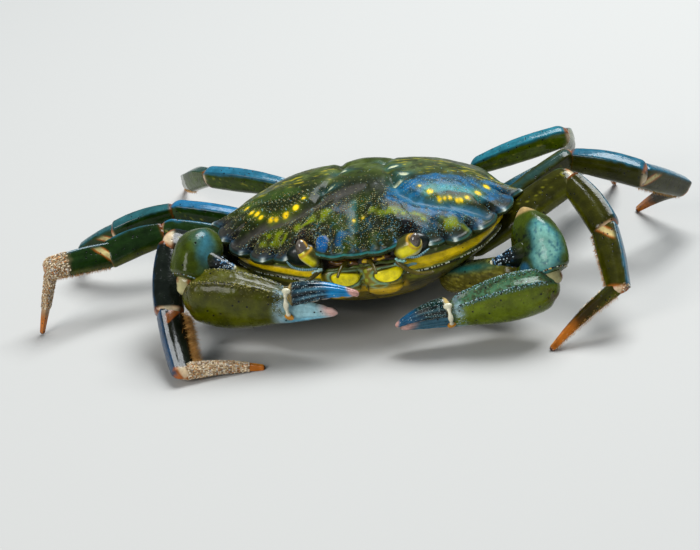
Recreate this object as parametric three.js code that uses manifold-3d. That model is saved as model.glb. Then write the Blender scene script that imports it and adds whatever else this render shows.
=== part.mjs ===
// A shore crab at life size, standing with its claws folded in front of its mouth.
// Millimetres, +Z up. The crab faces -Y, and its own left side is +X.
import * as THREE from "three";
import Module from "manifold-3d";

const wasm = await Module();
wasm.setup();

// ---------------------------------------------------------------- driving dimensions
const CARAPACE_WIDTH = 65; // between the tips of the last side teeth
const DOME = 7.5; // top of the back above the last side teeth
const BELLY = 16.3; // underside below the last side teeth
const EDGE = 1.3; // thickness of the carapace's rim
const RIDE_HEIGHT = 20; // last side teeth above the floor
const PITCH = -1; // degrees, nose up
const ROLL = -3; // degrees, left side up
const GAP = 0.3; // clearance between neighbouring plates
const SIDES = 8; // facets round a leg
const SLIVER = 0.09; // detail finer than this is left out where a piece is cut by its neighbour

const V = (x, y, z) => new THREE.Vector3(x, y, z);
const radians = THREE.MathUtils.degToRad;
const { lerp, clamp, smoothstep } = THREE.MathUtils;

const bodyPose = new THREE.Matrix4()
  .makeRotationFromEuler(new THREE.Euler(radians(PITCH), radians(ROLL), 0, "XYZ"))
  .setPosition(0, 0, RIDE_HEIGHT);

const inBody = (p) => p.clone().applyMatrix4(bodyPose);
const turned = (v) => v.clone().transformDirection(bodyPose);

// ---------------------------------------------------------------- solids
// A closed surface through rings of equal length, with a point at each end.
function skinOf(rings, first, last) {
  const sides = rings[0].length;
  const points = [first, ...rings.flat(), last];
  const end = points.length - 1;
  const faces = [];
  for (let j = 0; j < sides; j++) {
    const k = (j + 1) % sides;
    faces.push(0, 1 + k, 1 + j);
    faces.push(end, end - sides + j, end - sides + k);
    for (let i = 0; i + 1 < rings.length; i++) {
      const a = 1 + i * sides;
      const b = a + sides;
      faces.push(a + j, a + k, b + k, a + j, b + k, b + j);
    }
  }
  return { points, faces };
}

function solidOf({ points, faces }, matrix) {
  const placed = matrix ? points.map((p) => p.clone().applyMatrix4(matrix)) : points;
  let six = 0; // six times the signed volume
  for (let i = 0; i < faces.length; i += 3) {
    const [a, b, c] = [0, 1, 2].map((k) => placed[faces[i + k]]);
    six += a.dot(b.clone().cross(c));
  }
  const triVerts = new Uint32Array(faces);
  if (six < 0)
    for (let i = 0; i < triVerts.length; i += 3)
      [triVerts[i], triVerts[i + 1]] = [triVerts[i + 1], triVerts[i]];
  const vertProperties = new Float32Array(placed.flatMap((p) => p.toArray()));
  return new wasm.Manifold(new wasm.Mesh({ numProp: 3, vertProperties, triVerts }));
}

// How full a section is at `u` of the way along, so that both ends are rounded.
function rounded(u, head, tail) {
  const a = 1 - clamp(u / head, 0, 1);
  const b = 1 - clamp((1 - u) / tail, 0, 1);
  return Math.sqrt(1 - a * a) * Math.sqrt(1 - b * b);
}

// A limb piece from joint to joint. `size(u)` gives the half depth, the half thickness and the rise of the
// centre line; `up` is the outer side of the limb's bend. Square is 2 for an ellipse and more for a fuller section.
function horn({ from, to, up, size, stations, sides = SIDES, square = 2.3, head = 0.16, tail = 0.16 }) {
  const along = to.clone().sub(from);
  const dir = along.clone().normalize();
  const high = up.clone().addScaledVector(dir, -up.dot(dir)).normalize();
  const wide = dir.clone().cross(high);
  const make = (grow) => {
    const start = from.clone().addScaledVector(dir, -grow);
    const reach = along.length() + 2 * grow;
    const centre = (u) => {
      const rise = size(u)[2];
      return start.clone().addScaledVector(dir, u * reach).addScaledVector(high, rise);
    };
    const rings = stations.map((u) => {
      const [deep, thick] = size(u);
      const full = rounded(u, head, tail);
      return Array.from({ length: sides }, (_, j) => {
        const a = ((j + 0.5) / sides) * 2 * Math.PI;
        const [c, s] = [Math.cos(a), Math.sin(a)];
        const bulge = (Math.abs(c) ** square + Math.abs(s) ** square) ** (-1 / square);
        return centre(u)
          .addScaledVector(high, (deep * full + grow) * bulge * c)
          .addScaledVector(wide, (thick * full + grow) * bulge * s);
      });
    });
    return solidOf(skinOf(rings, centre(0), centre(1)));
  };
  return { body: make(0), room: make(GAP) };
}

// An egg-shaped lump with three half axes.
function lump({ at, axes, rings = 7, sides = 12, square = 2.3, matrix }) {
  const make = (grow) => {
    const half = axes.map((a) => a.clone().setLength(a.length() + grow));
    const point = (lat, lon) => {
      const w = [Math.cos(lat) * Math.cos(lon), Math.cos(lat) * Math.sin(lon), Math.sin(lat)];
      const bulge = w.reduce((sum, x) => sum + Math.abs(x) ** square, 0) ** (-1 / square);
      return w.reduce((p, x, i) => p.addScaledVector(half[i], x * bulge), at.clone());
    };
    const loops = Array.from({ length: rings - 1 }, (_, i) =>
      Array.from({ length: sides }, (_, j) =>
        point(((i + 1) / rings - 0.5) * Math.PI, (j / sides) * 2 * Math.PI),
      ),
    );
    return solidOf(skinOf(loops, point(-Math.PI / 2, 0), point(Math.PI / 2, 0)), matrix);
  };
  return { body: make(0), room: make(GAP) };
}

const joined = (a, b) => ({ body: a.body.add(b.body), room: a.room.add(b.room) });

// ---------------------------------------------------------------- carapace and trunk, in the body's own frame
// Half of the rim from the middle of the front to the middle of the back: x, y, z and how far the stretch to the
// next point bows outward, as a share of its length.
const HALF_RIM = [
  [0, -21.2, -1.2, 0.06], // middle frontal lobe
  [2.4, -20.6, -1.2, 0.2],
  [6.4, -20.2, -1.1, 0.1], // side frontal lobe
  [8.4, -19.5, -0.6, -0.1], // inner corner of the eye socket
  [9.4, -17, -0.3, -0.2],
  [12.9, -16.5, -1.4, 0.1],
  [14.5, -18.2, -2.0, 0.16], // side tooth 1, outer corner of the eye socket
  [17.4, -15.7, -2.3, 0],
  [19.5, -16.8, -2.4, 0.18], // side tooth 2
  [22.6, -12.7, -2.0, 0],
  [24.5, -13.4, -1.8, 0.16], // side tooth 3
  [27.4, -7.6, -1.2, 0],
  [29.1, -7.4, -0.9, 0.12], // side tooth 4
  [30.4, -1.4, -0.4, 0],
  [CARAPACE_WIDTH / 2, 0.3, 0, -0.02], // side tooth 5
  [25.5, 14.5, -2.6, 0.06],
  [15.5, 26.6, -5.6, 0.12],
  [10, 28.2, -6, 0],
  [0, 27.8, -6, 0],
];
const CROWN = V(0, 2, 0); // the rim is seen from here, and the back is highest above it

function stretch([ax, ay, az, bow], [bx, by, bz], steps) {
  return Array.from({ length: steps }, (_, i) => {
    const t = i / steps;
    const out = bow * 4 * t * (1 - t);
    return V(lerp(ax, bx, t) + out * (by - ay), lerp(ay, by, t) - out * (bx - ax), lerp(az, bz, t));
  });
}

function loopOf(half) {
  const side = half.slice(1).flatMap((b, i) => stretch(half[i], b, half[i][3] ? 2 : 1));
  const back = V(...half.at(-1).slice(0, 3));
  return [...side, back, ...side.slice(1).reverse().map((p) => V(-p.x, p.y, p.z))];
}
const RIM = loopOf(HALF_RIM);

// The nearest point to each of the rim's on a plain outline without teeth, seen from the crown.
const SMOOTH_WIDTH = 31;
const plainRim = (fore, aft, fullness) => (p) => {
  const [c, s] = [p.x / SMOOTH_WIDTH, (p.y - CROWN.y) / (p.y < CROWN.y ? fore : aft)];
  const reach = (Math.abs(c) ** fullness + Math.abs(s) ** fullness) ** (-1 / fullness);
  return V(p.x * reach, CROWN.y + (p.y - CROWN.y) * reach, p.z);
};
const PLAIN = RIM.map(plainRim(22.6, 27, 2.35));

function carapaceRing(share, drop) {
  const toothed = smoothstep(share, 0.8, 1);
  return RIM.map((p, i) => {
    const q = PLAIN[i].clone().lerp(p, toothed);
    const z = p.z * share ** 2 + DOME * (1 - share ** 2.2) - drop;
    return V(q.x * share, lerp(CROWN.y, q.y, share), z);
  });
}

function carapace() {
  const top = [0.36, 0.68, 0.89, 1].map((share) => carapaceRing(share, 0));
  const make = (gap) => {
    const under = [1, 0.93].map((share) =>
      RIM.map((p) => V(p.x * share, lerp(CROWN.y, p.y, share), p.z * share - EDGE * (2 - share) - gap)),
    );
    const rings = [...top, ...under];
    return solidOf(skinOf(rings, V(0, CROWN.y, DOME), V(0, CROWN.y, -EDGE - 1 - gap)), bodyPose);
  };
  return { body: make(0), room: make(GAP) };
}

// Each level of the trunk: how wide, how far forward and how far back it reaches, and its height.
const TRUNK = [
  [27.4, -17.4, 24.4, -1.9],
  [27.6, -17.6, 25.2, -3.8],
  [27.2, -17.4, 25.4, -6.4],
  [22.8, -17.1, 24.6, -9.6],
  [16.6, -14.4, 22.6, -13.2],
  [13.2, -10.8, 20.4, -15.2],
];
const TRUNK_SIDES = 14;
const TRUNK_FULLNESS = 2.5;
function trunk() {
  const make = (grow) => {
    const ring = ([wide, fore, aft, z]) =>
      Array.from({ length: TRUNK_SIDES }, (_, i) => {
        const a = (i / TRUNK_SIDES) * 2 * Math.PI;
        const [c, s] = [Math.cos(a), Math.sin(a)];
        const bulge = (Math.abs(c) ** TRUNK_FULLNESS + Math.abs(s) ** TRUNK_FULLNESS) ** (-1 / TRUNK_FULLNESS);
        const deep = s < 0 ? -fore : aft;
        return V((wide + grow) * bulge * c, (deep + grow) * bulge * s, z);
      });
    const rings = TRUNK.map(ring);
    const low = -BELLY + 0.6 - grow;
    rings.push(rings.at(-1).map((p) => V(p.x * 0.96, p.y * 0.96, low)));
    return solidOf(skinOf(rings, V(0, 2, -2.4), V(0, 2, low)), bodyPose);
  };
  return { body: make(0), room: make(GAP) };
}

// A flat plate under the trunk, outlined by a shape seen from below.
function ventralPlate(outline, top, bottom, bevel) {
  const shape = new THREE.Shape(outline.map(([x, y]) => new THREE.Vector2(x, y)));
  const make = (grow) => {
    const geometry = new THREE.ExtrudeGeometry(shape, {
      depth: top - bottom - 2 * bevel + 2 * grow,
      bevelSize: bevel - 0.3 + grow,
      bevelThickness: bevel,
      bevelOffset: -bevel,
      bevelSegments: 1,
    });
    geometry.translate(0, 0, bottom + bevel - grow);
    return fromGeometry(geometry, bodyPose);
  };
  return { body: make(0), room: make(GAP) };
}

function fromGeometry(geometry, matrix) {
  const position = geometry.getAttribute("position");
  const seen = new Map();
  const points = [];
  const faces = [];
  const count = geometry.index ? geometry.index.count : position.count;
  for (let i = 0; i < count; i++) {
    const p = V().fromBufferAttribute(position, geometry.index ? geometry.index.getX(i) : i);
    const key = p.toArray().map((x) => Math.round(x * 1e4)).join();
    if (!seen.has(key)) seen.set(key, points.push(p) - 1);
    faces.push(seen.get(key));
  }
  return solidOf({ points, faces }, matrix);
}

// ---------------------------------------------------------------- limbs
// Joints from the trunk to the tip. Letters: l and r are the crab's own left and right; 1 is the claw arm.
const LEGS = {
  l2: [V(20.5, -5, 11), V(41.9, 0.9, 23.1), V(48.6, -10, 17.4), V(50.9, -22.5, 10), V(37.2, -29.3, 0.3)],
  l3: [V(21, 3, 11.3), V(41.6, 15.1, 21.6), V(56, 12, 18.5), V(64.8, 23.4, 10.2), V(54.6, 35.2, 0.3)],
  l4: [V(20.5, 12, 12.3), V(39, 22, 17.5), V(44, 34, 12.5), V(48.5, 43, 7), V(50, 50.5, 0.3)],
  l5: [V(20, 26, 16.4), V(39.9, 30, 20.8), V(40.5, 38, 15.8), V(40.2, 45, 9), V(40.5, 54, 0.3)],
  r2: [V(-19.5, -5, 9), V(-39.7, -8, 18.3), V(-39, -20.2, 8.7), V(-34.6, -34.6, 2.3), V(-18.9, -30.8, 0.4)],
  r3: [V(-20, 3, 9.3), V(-43.3, 4, 15.1), V(-54.4, 0.2, 12.8), V(-65.3, -8.4, 14.4), V(-69.3, -10.6, 0.3)],
  r4: [V(-19.5, 12, 10.5), V(-43.2, 15.4, 14.8), V(-55.8, 13.6, 11.6), V(-64.2, 15.8, 7), V(-66.8, 22.6, 0.3)],
  r5: [V(-19.5, 26, 14.4), V(-38.2, 32, 15.6), V(-44.5, 41, 11.2), V(-48.5, 52, 6.6), V(-51.5, 63.5, 0.3)],
};
// Half depth of the upper leg piece; the last pair is slighter and its tip is a flat blade.
const LEG_DEPTH = { 2: 3.8, 3: 3.7, 4: 3.4, 5: 3 };
// Where each leg leaves the trunk, on the crab's left and seen in the body's own frame.
const HIPS = { 2: V(14, -4, -11.6), 3: V(14.6, 2, -11.8), 4: V(14.2, 9, -11.6), 5: V(11.5, 16.5, -9.6) };

// Each piece: half depth at start and end and how much it swells between, as shares of the leg's depth, its
// thickness as a share of its depth, and how far its back arches.
const LEG_PIECES = [
  { name: "merus", start: 0.62, end: 0.84, swell: 0.22, flat: 0.58, arch: 0.1 },
  { name: "carpus", start: 0.6, end: 0.78, swell: 0.12, flat: 0.72, arch: 0.16 },
  { name: "propodus", start: 0.72, end: 0.58, swell: 0.06, flat: 0.62, arch: 0.05 },
  { name: "dactylus", start: 0.44, end: 0.13, swell: 0.04, flat: 0.74, arch: 0.16 },
];
const LEG_STATIONS = [0.035, 0.16, 0.5, 0.84, 0.965];
const TIP_STATIONS = [0.04, 0.16, 0.45, 0.75, 0.97];

function legPieces(side, joints) {
  const depth = LEG_DEPTH[side[1]];
  const foot = joints.at(-1);
  const up = side[1] === "5" ? V(0, -0.3, 1) : joints[1].clone().sub(joints[0].clone().lerp(foot, 0.5));
  const heels = LEG_PIECES.map((piece, i) => {
    const tip = i === LEG_PIECES.length - 1;
    const blade = tip && side[1] === "5" ? 1.35 : 1;
    const size = (u) => {
      const share = lerp(piece.start, piece.end, u) + piece.swell * Math.sin(Math.PI * u);
      const deep = depth * share * (tip ? lerp(blade, 1, u) : 1);
      return [deep, (deep * piece.flat) / blade, depth * piece.arch * Math.sin(Math.PI * u)];
    };
    const dir = joints[i + 1].clone().sub(joints[i]).normalize();
    const lead = i === 0 ? 0 : 0.5; // the joint membrane's share of the gap
    return [
      `${side}_${piece.name}`,
      horn({
        from: joints[i].clone().addScaledVector(dir, lead),
        to: joints[i + 1].clone().addScaledVector(dir, tip ? 0 : 1.2),
        up,
        size,
        stations: tip ? TIP_STATIONS : LEG_STATIONS,
        tail: tip ? 0.06 : 0.14,
      }),
    ];
  });
  const hip = HIPS[side[1]].clone();
  if (side[0] === "r") hip.x *= -1;
  const root = horn({
    from: inBody(hip),
    to: joints[0].clone().lerp(joints[1], 0.06),
    up,
    size: (u) => [depth * lerp(0.86, 0.66, u), depth * lerp(0.66, 0.5, u), 0],
    stations: [0.05, 0.5, 0.95],
    sides: 6,
  });
  heels[0][1] = joined(heels[0][1], root);
  return heels.reverse(); // the outer pieces keep their shape where two meet
}

// The claw arms: shoulder, elbow, the two ends of the wrist, the palm's root, the finger's hinge and its tip, the
// way the palm's upper edge faces, the tip of the spine inside the wrist, the fixed finger's reach as a share of the
// movable one's, how big the claw is, and the wrist block's depth at its top and bottom with its swell and its
// thickness as a share of the depth.
const CLAWS = {
  l1: {
    shoulder: V(15, -7, 6.3), elbow: V(33, -16.5, 11.6), wrist: [V(33, -13.4, 24), V(37, -21.6, 12)],
    root: V(38.7, -22.6, 11), hinge: V(18.5, -25.5, 8.4), tip: V(7.2, -27, 6.2), up: V(-0.1, -0.45, 0.9),
    spine: V(26.4, -21.6, 16.2), reach: 0.93, size: 0.93, block: [0.42, 0.92, 0.26, 0.66],
  },
  r1: {
    shoulder: V(-13, -11, 5.5), elbow: V(-30, -15.2, 13.2), wrist: [V(-29.6, -14.4, 23.8), V(-33.4, -21.2, 15)],
    root: V(-34.4, -22, 12.9), hinge: V(-13.7, -25.6, 12.3), tip: V(0.6, -25.4, 12.9), up: V(0.05, -0.18, 1),
    spine: V(-23.8, -22, 18.3), reach: 0.7, size: 1.05, block: [0.54, 0.68, 0.09, 0.9],
  },
};
const PALM_DEPTH = 5.5; // half the palm's height
const FINGER_DEPTH = 2.5; // half the movable finger's height at its hinge

function clawPieces(side, { shoulder, elbow, wrist, root, hinge, tip, up, spine, reach, size, block: wristShape }) {
  const dir = hinge.clone().sub(root).normalize();
  const high = up.clone().addScaledVector(dir, -up.dot(dir)).normalize();
  const fingerLength = tip.distanceTo(hinge);

  const finger = horn({
    from: hinge.clone().addScaledVector(high, 1.1 * size),
    to: tip,
    up: high,
    size: (u) => {
      const deep = size * FINGER_DEPTH * lerp(1, 0.2, u ** 1.3);
      return [deep, deep * 0.82, size * 1.1 * Math.sin(Math.PI * u)];
    },
    stations: [0.03, 0.12, 0.35, 0.6, 0.82, 0.97],
    sides: 10,
    head: 0.1,
    tail: 0.05,
  });

  // The palm and the fixed finger below the movable one are one shell.
  const palmLength = root.distanceTo(hinge);
  const thumb = fingerLength * reach;
  const end = palmLength / (palmLength + thumb);
  const palm = horn({
    from: root.clone().addScaledVector(dir, -1),
    to: hinge.clone().addScaledVector(dir, thumb).addScaledVector(high, -2.3 * size),
    up: high,
    size: (u) => {
      const slim = smoothstep(u, end * 0.88, end * 1.14);
      const swell = Math.sin(Math.PI * clamp(u / end, 0, 1) ** 0.8);
      const deep = lerp(PALM_DEPTH * (0.62 + 0.44 * swell), lerp(2.7, 0.5, (u - end) / (1 - end)), slim);
      const thick = lerp(PALM_DEPTH * (0.5 + 0.24 * swell), deep * 0.8, slim);
      const rise = lerp(0.9 * u, -1.5 * (1 - u), slim);
      return [size * deep, size * thick, size * rise];
    },
    stations: [0.02, 0.08, 0.2, 0.34, end * 0.84, end, end * 1.14, lerp(end, 1, 0.6), 0.97],
    sides: 12,
    head: 0.12,
    tail: 0.04,
  });

  // The wrist is a rounded block, broader below than above, with a spine on its inner corner.
  const [near, far] = wrist;
  const middle = near.clone().lerp(far, 0.62);
  const block = horn({
    from: near,
    to: far,
    up: V(far.x - spine.x, -6, 6),
    size: (u) => {
      const [top, bottom, swell, flat] = wristShape;
      const full = size * 6.1 * (lerp(top, bottom, u) + swell * Math.sin(Math.PI * u));
      return [full, full * flat, size * 0.8 * Math.sin(Math.PI * u)];
    },
    stations: [0.02, 0.09, 0.24, 0.5, 0.76, 0.92, 0.985],
    sides: 12,
    square: 2.9,
    head: 0.34,
    tail: 0.13,
  });
  const thorn = horn({
    from: middle.clone().lerp(spine, 0.05),
    to: spine,
    up: V(0, 0, 1),
    size: (u) => [size * lerp(4.8, 0.4, u ** 0.9), size * lerp(3.2, 0.4, u ** 0.9), 0],
    stations: [0.05, 0.5, 0.97],
    tail: 0.04,
  });

  const arm = horn({
    from: shoulder,
    to: elbow,
    up: V(0, 0, 1),
    size: (u) => [lerp(2.9, 3.6, u), lerp(2.7, 3.3, u), 0],
    stations: [0.04, 0.25, 0.94],
  });
  return [
    [`${side}_finger`, finger],
    [`${side}_palm`, palm],
    [`${side}_wrist`, joined(block, thorn)],
    [`${side}_arm`, arm],
  ];
}

// ---------------------------------------------------------------- eyes, feelers and mouth, in the body's own frame
// Each eye: its stalk from root to crown and how thick that is, and the cornea's middle, long axis and half width
// and half length.
const EYES = {
  l: {
    root: V(7.4, -18.6, -2.8), crown: V(13, -18.6, -0.2), fat: 2.35,
    middle: V(11.9, -19.5, -0.1), long: V(0.25, -0.35, 0.9), half: [1.35, 1.7],
  },
  r: {
    root: V(-7.7, -19.3, -3.3), crown: V(-11.2, -18.9, 0.9), fat: 1.75,
    middle: V(-10.6, -19.1, 0.6), long: V(-0.35, -0.3, 0.85), half: [1.5, 2],
  },
};

function eyePieces(side, { root, crown, fat, middle, long, half }) {
  const across = long.clone().cross(V(0, 1, 0)).normalize();
  const eye = lump({
    at: inBody(middle),
    axes: [
      turned(across.clone().cross(long)).setLength(half[0]),
      turned(across).setLength(half[0]),
      turned(long).setLength(half[1]),
    ],
    rings: 5,
    sides: 10,
    square: 2,
  });
  const stalk = horn({
    from: inBody(root),
    to: inBody(crown),
    up: V(0, 0, 1),
    size: (u) => {
      const radius = fat * lerp(0.7, 1, Math.sin(Math.PI * 0.62 * u));
      return [radius, radius, 0];
    },
    stations: [0.04, 0.2, 0.5, 0.75, 0.93],
    square: 2,
    head: 0.2,
    tail: 0.42,
  });
  return [
    [`eye_${side}`, eye],
    [`eyestalk_${side}`, stalk],
  ];
}

function feelers(side) {
  const out = side === "l" ? 1 : -1;
  const feeler = (name, from, to, up, thick, bow) => [
    `${name}_${side}`,
    horn({
      from: inBody(from),
      to: inBody(to),
      up: turned(up),
      size: (u) => [thick * lerp(1, 0.34, u ** 0.5), thick * lerp(1, 0.34, u ** 0.5), bow * Math.sin(Math.PI * u)],
      stations: [0.02, 0.1, 0.3, 0.55, 0.8, 0.98],
      sides: 6,
      head: 0.04,
      tail: 0.03,
    }),
  ];
  return [
    feeler("antenna", V(out * 7.6, -19, -4.2), V(out * 15.5, -25.2, -4.6), V(0, -0.5, -1), 0.8, 1.2),
    feeler("antennule", V(out * 2.2, -19, -3.6), V(out * 3.9, -23.3, -4.6), V(0, 0, 1), 0.7, 0.8),
  ];
}

// The outer jaw legs close the mouth like a pair of doors.
function jaw(side) {
  const out = side === "l" ? 1 : -1;
  return [
    `jaw_${side}`,
    lump({
      at: V(out * 4.3, -17.7, -8),
      axes: [V(3.9, 0, 0), V(0, 1.5, 0), V(0, 0.5, 3.5)],
      square: 3,
      matrix: bodyPose,
    }),
  ];
}

// ---------------------------------------------------------------- the whole crab
const MALE_ABDOMEN = [[-5.6, 20.5], [-4.9, 12], [-3.1, 4], [-1.9, -4.6], [1.9, -4.6], [3.1, 4], [4.9, 12], [5.6, 20.5]];
const STERNUM = [[-11.5, 17], [-13, 3], [-11, -6.5], [-4.6, -9.2], [4.6, -9.2], [11, -6.5], [13, 3], [11.5, 17]];

const parts = [
  ["carapace", carapace()],
  ...Object.entries(EYES).flatMap(([side, eye]) => eyePieces(side, eye)),
  ...["l", "r"].flatMap(feelers),
  ...["l", "r"].map(jaw),
  ...Object.entries(CLAWS).flatMap(([side, claw]) => clawPieces(side, claw)),
  ...Object.entries(LEGS).flatMap(([side, joints]) => legPieces(side, joints)),
  ["abdomen", ventralPlate(MALE_ABDOMEN, -BELLY + 0.9, -BELLY - 0.9, 0.5)],
  ["sternum", ventralPlate(STERNUM, -BELLY + 2.6, -BELLY, 0.7)],
  ["trunk", trunk()],
];

const COLOURS = {
  shell: { color: 0x2d3a2a, roughness: 0.32 },
  claw: { color: 0x47551c, roughness: 0.3 },
  finger: { color: 0x1f3f55, roughness: 0.3 },
  leg: { color: 0x2c3d22, roughness: 0.28 },
  belly: { color: 0xa8a04a, roughness: 0.45 },
  eye: { color: 0x3a342c, roughness: 0.15 },
};
const FINISH = [
  [/^eye_/, "eye"], [/finger$/, "finger"], [/^[lr]1/, "claw"], [/^[lr]\d/, "leg"],
  [/carapace/, "shell"], [/./, "belly"],
];
const materials = Object.fromEntries(
  Object.entries(COLOURS).map(([name, look]) => [name, new THREE.MeshStandardMaterial({ ...look, metalness: 0 })]),
);

const crab = new THREE.Group();
const taken = [];
for (const [name, { body, room }] of parts) {
  let solid = body.trimByPlane([0, 0, 1], 0); // the feet end in small flats on the floor
  for (const other of taken) if (other.intersect(solid).volume() > 0) solid = solid.subtract(other);
  solid = solid.simplify(SLIVER).decompose().sort((a, b) => b.volume() - a.volume())[0];
  taken.push(room);
  crab.add(meshOf(name, solid));
}

function meshOf(name, solid) {
  const { vertProperties, triVerts, numProp } = solid.getMesh();
  const position = new Float32Array((vertProperties.length / numProp) * 3);
  for (let i = 0; i < position.length / 3; i++)
    position.set(vertProperties.subarray(i * numProp, i * numProp + 3), i * 3);
  const geometry = new THREE.BufferGeometry()
    .setAttribute("position", new THREE.BufferAttribute(position, 3))
    .setIndex(new THREE.BufferAttribute(triVerts, 1));
  geometry.computeBoundingBox();
  const middle = geometry.boundingBox.getCenter(V());
  geometry.translate(-middle.x, -middle.y, -middle.z);
  const [, look] = FINISH.find(([pattern]) => pattern.test(name));
  const mesh = new THREE.Mesh(geometry, materials[look]);
  mesh.name = name;
  mesh.position.copy(middle);
  return mesh;
}

// The origin is on the floor, under the middle of the crab's box.
const box = new THREE.Box3().setFromObject(crab);
crab.position.set(-(box.min.x + box.max.x) / 2, -(box.min.y + box.max.y) / 2, -box.min.z);

const shoreCrab = new THREE.Group();
shoreCrab.add(crab);
export default shoreCrab;
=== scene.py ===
# %% [markdown]
# # A shore crab at life size
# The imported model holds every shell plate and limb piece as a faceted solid. This script puts a finely
# worked surface over each one, in its place and to its size within about 2 mm: the toothed back with its
# grooves and granules, the folded claws, the eight walking legs, the face, and the wet mottled finish over
# all of it. The hairs on the legs stand out up to about 3 mm beyond the solids.

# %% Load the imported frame
from itertools import product
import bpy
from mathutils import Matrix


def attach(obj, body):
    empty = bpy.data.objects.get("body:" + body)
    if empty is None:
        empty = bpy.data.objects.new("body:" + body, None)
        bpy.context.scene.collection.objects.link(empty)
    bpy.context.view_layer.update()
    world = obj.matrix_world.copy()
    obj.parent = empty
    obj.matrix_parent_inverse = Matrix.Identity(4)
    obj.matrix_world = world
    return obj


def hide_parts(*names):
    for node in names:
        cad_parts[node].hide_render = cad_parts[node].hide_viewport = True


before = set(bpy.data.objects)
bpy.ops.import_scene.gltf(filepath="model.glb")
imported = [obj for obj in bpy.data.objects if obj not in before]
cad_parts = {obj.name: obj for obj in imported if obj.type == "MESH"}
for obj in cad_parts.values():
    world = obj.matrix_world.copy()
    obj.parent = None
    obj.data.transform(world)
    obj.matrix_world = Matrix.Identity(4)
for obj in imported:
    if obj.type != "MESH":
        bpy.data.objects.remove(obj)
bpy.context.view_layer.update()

from types import SimpleNamespace

import bpy
import numpy as np
from mathutils import Matrix, Vector

# %% [markdown]
# ## One frame for everything
# Shapes are easiest to write in millimetres round the crab's own middle, with its left side at +X and its
# face towards -Y. Two small steps bring them into the model's frame: the body's own tilt, and the shift
# that puts the origin on the floor under the middle of the box. Both are kept here, so that no object is
# ever moved or scaled.

# %% Body frame and millimetres
MM = 0.001
PLACE = np.array([1.701, -13.849, -0.109])  # from the crab's own origin to the model's, mm
RIDE_HEIGHT = 20.0  # the last side teeth above the floor
WET = 1.22  # power that takes a dry colour to a wet one, darker and richer
PITCH, ROLL = np.radians([-1.0, -3.0])  # nose up, left side up

pitch_turn = np.array([[1, 0, 0], [0, np.cos(PITCH), -np.sin(PITCH)], [0, np.sin(PITCH), np.cos(PITCH)]])
roll_turn = np.array([[np.cos(ROLL), 0, np.sin(ROLL)], [0, 1, 0], [-np.sin(ROLL), 0, np.cos(ROLL)]])
BODY_TURN = pitch_turn @ roll_turn


def turned(v):
    """A direction in the body's frame, in the model's."""
    return np.asarray(v, float) @ BODY_TURN.T


def in_body(p):
    """A point in the body's frame, in the model's: turned, then lifted by the ride height."""
    return turned(p) + [0, 0, RIDE_HEIGHT]


def off_body(p):
    """The way back: a point in the model's frame, in the body's."""
    return (p - [0, 0, RIDE_HEIGHT]) @ BODY_TURN


# %% [markdown]
# ## Small tools for shapes and patterns
# Everything that follows is a formula over whole arrays. Four tools are enough: a smooth step, a hump, a
# value noise that is the same on every run, and a groove, which is a hump over the distance to a broken
# line.

# %% Numpy tools
def V(*v):
    """A point or a direction."""
    return np.array(v, float)


def mix(a, b, t):
    """a where t is 0, b where t is 1."""
    return a + (b - a) * t


def step(lo, hi, x):
    """0 below lo, 1 above hi, and an S curve between them."""
    t = np.clip((np.asarray(x, float) - lo) / (hi - lo), 0, 1)
    return t * t * (3 - 2 * t)


def hump(x, width):
    """A bell, 1 at 0, that falls to a third at `width`."""
    return np.exp(-(np.asarray(x, float) / width) ** 2)


def unit(v):
    return v / np.linalg.norm(v, axis=-1, keepdims=True)


def noise(p, size, seed=0):
    """Random heights, 0 to 1, on the corners of a cubic lattice `size` apart, blended by a smooth step."""
    q = np.asarray(p, float) / size + seed * 19.7 + 400
    cell = np.floor(q).astype(np.int64)
    f = q - cell
    f = f * f * (3 - 2 * f)
    total = 0
    for corner in product((0, 1), repeat=3):
        i = cell + corner
        h = (i[..., 0] * 374761393 + i[..., 1] * 668265263 + i[..., 2] * 1440662683) & 0xFFFFFFFF
        h = ((h ^ (h >> 13)) * 1274126177) & 0xFFFFFFFF
        h = (h ^ (h >> 16)) / 0xFFFFFFFF
        total = total + h * np.prod(np.where(corner, f, 1 - f), axis=-1)
    return total


def clouds(p, size, seed=0):
    """Three layers of noise, each half the size and half the strength of the one before."""
    return (noise(p, size, seed) * 4 + noise(p, size / 2, seed + 1) * 2 + noise(p, size / 4, seed + 2)) / 7


def away(x, y, path):
    """Distance in the plane from each point to a broken line."""
    best = np.full(np.shape(x), 1e9)
    for (ax, ay), (bx, by) in zip(path[:-1], path[1:]):
        t = ((x - ax) * (bx - ax) + (y - ay) * (by - ay)) / ((bx - ax) ** 2 + (by - ay) ** 2)
        t = np.clip(t, 0, 1)
        best = np.minimum(best, np.hypot(x - ax - t * (bx - ax), y - ay - t * (by - ay)))
    return best


def smooth_table(rows, t):
    """A Catmull-Rom curve through equally spaced rows of numbers, read at t from 0 to 1."""
    rows = np.asarray(rows, float)
    rows = np.vstack([2 * rows[0] - rows[1], rows, 2 * rows[-1] - rows[-2]])
    q = np.clip(t, 0, 1) * (len(rows) - 3)
    i = np.minimum(q.astype(int), len(rows) - 4)
    f = (q - i)[..., None]
    a, b, c, d = (rows[i + k] for k in range(4))
    return 0.5 * (2 * b + (c - a) * f + (2 * a - 5 * b + 4 * c - d) * f**2 + (3 * b - a - 3 * c + d) * f**3)


# %% Colour tools
def tint(code):
    """A colour code as light: each sRGB channel made linear."""
    c = np.array([int(code[i : i + 2], 16) for i in (1, 3, 5)]) / 255
    return np.where(c <= 0.04045, c / 12.92, ((c + 0.055) / 1.055) ** 2.4)


def over(base, code, mask):
    """Lays a colour over a painted surface by a mask."""
    return mix(base, tint(code), np.asarray(mask, float)[..., None])


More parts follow.
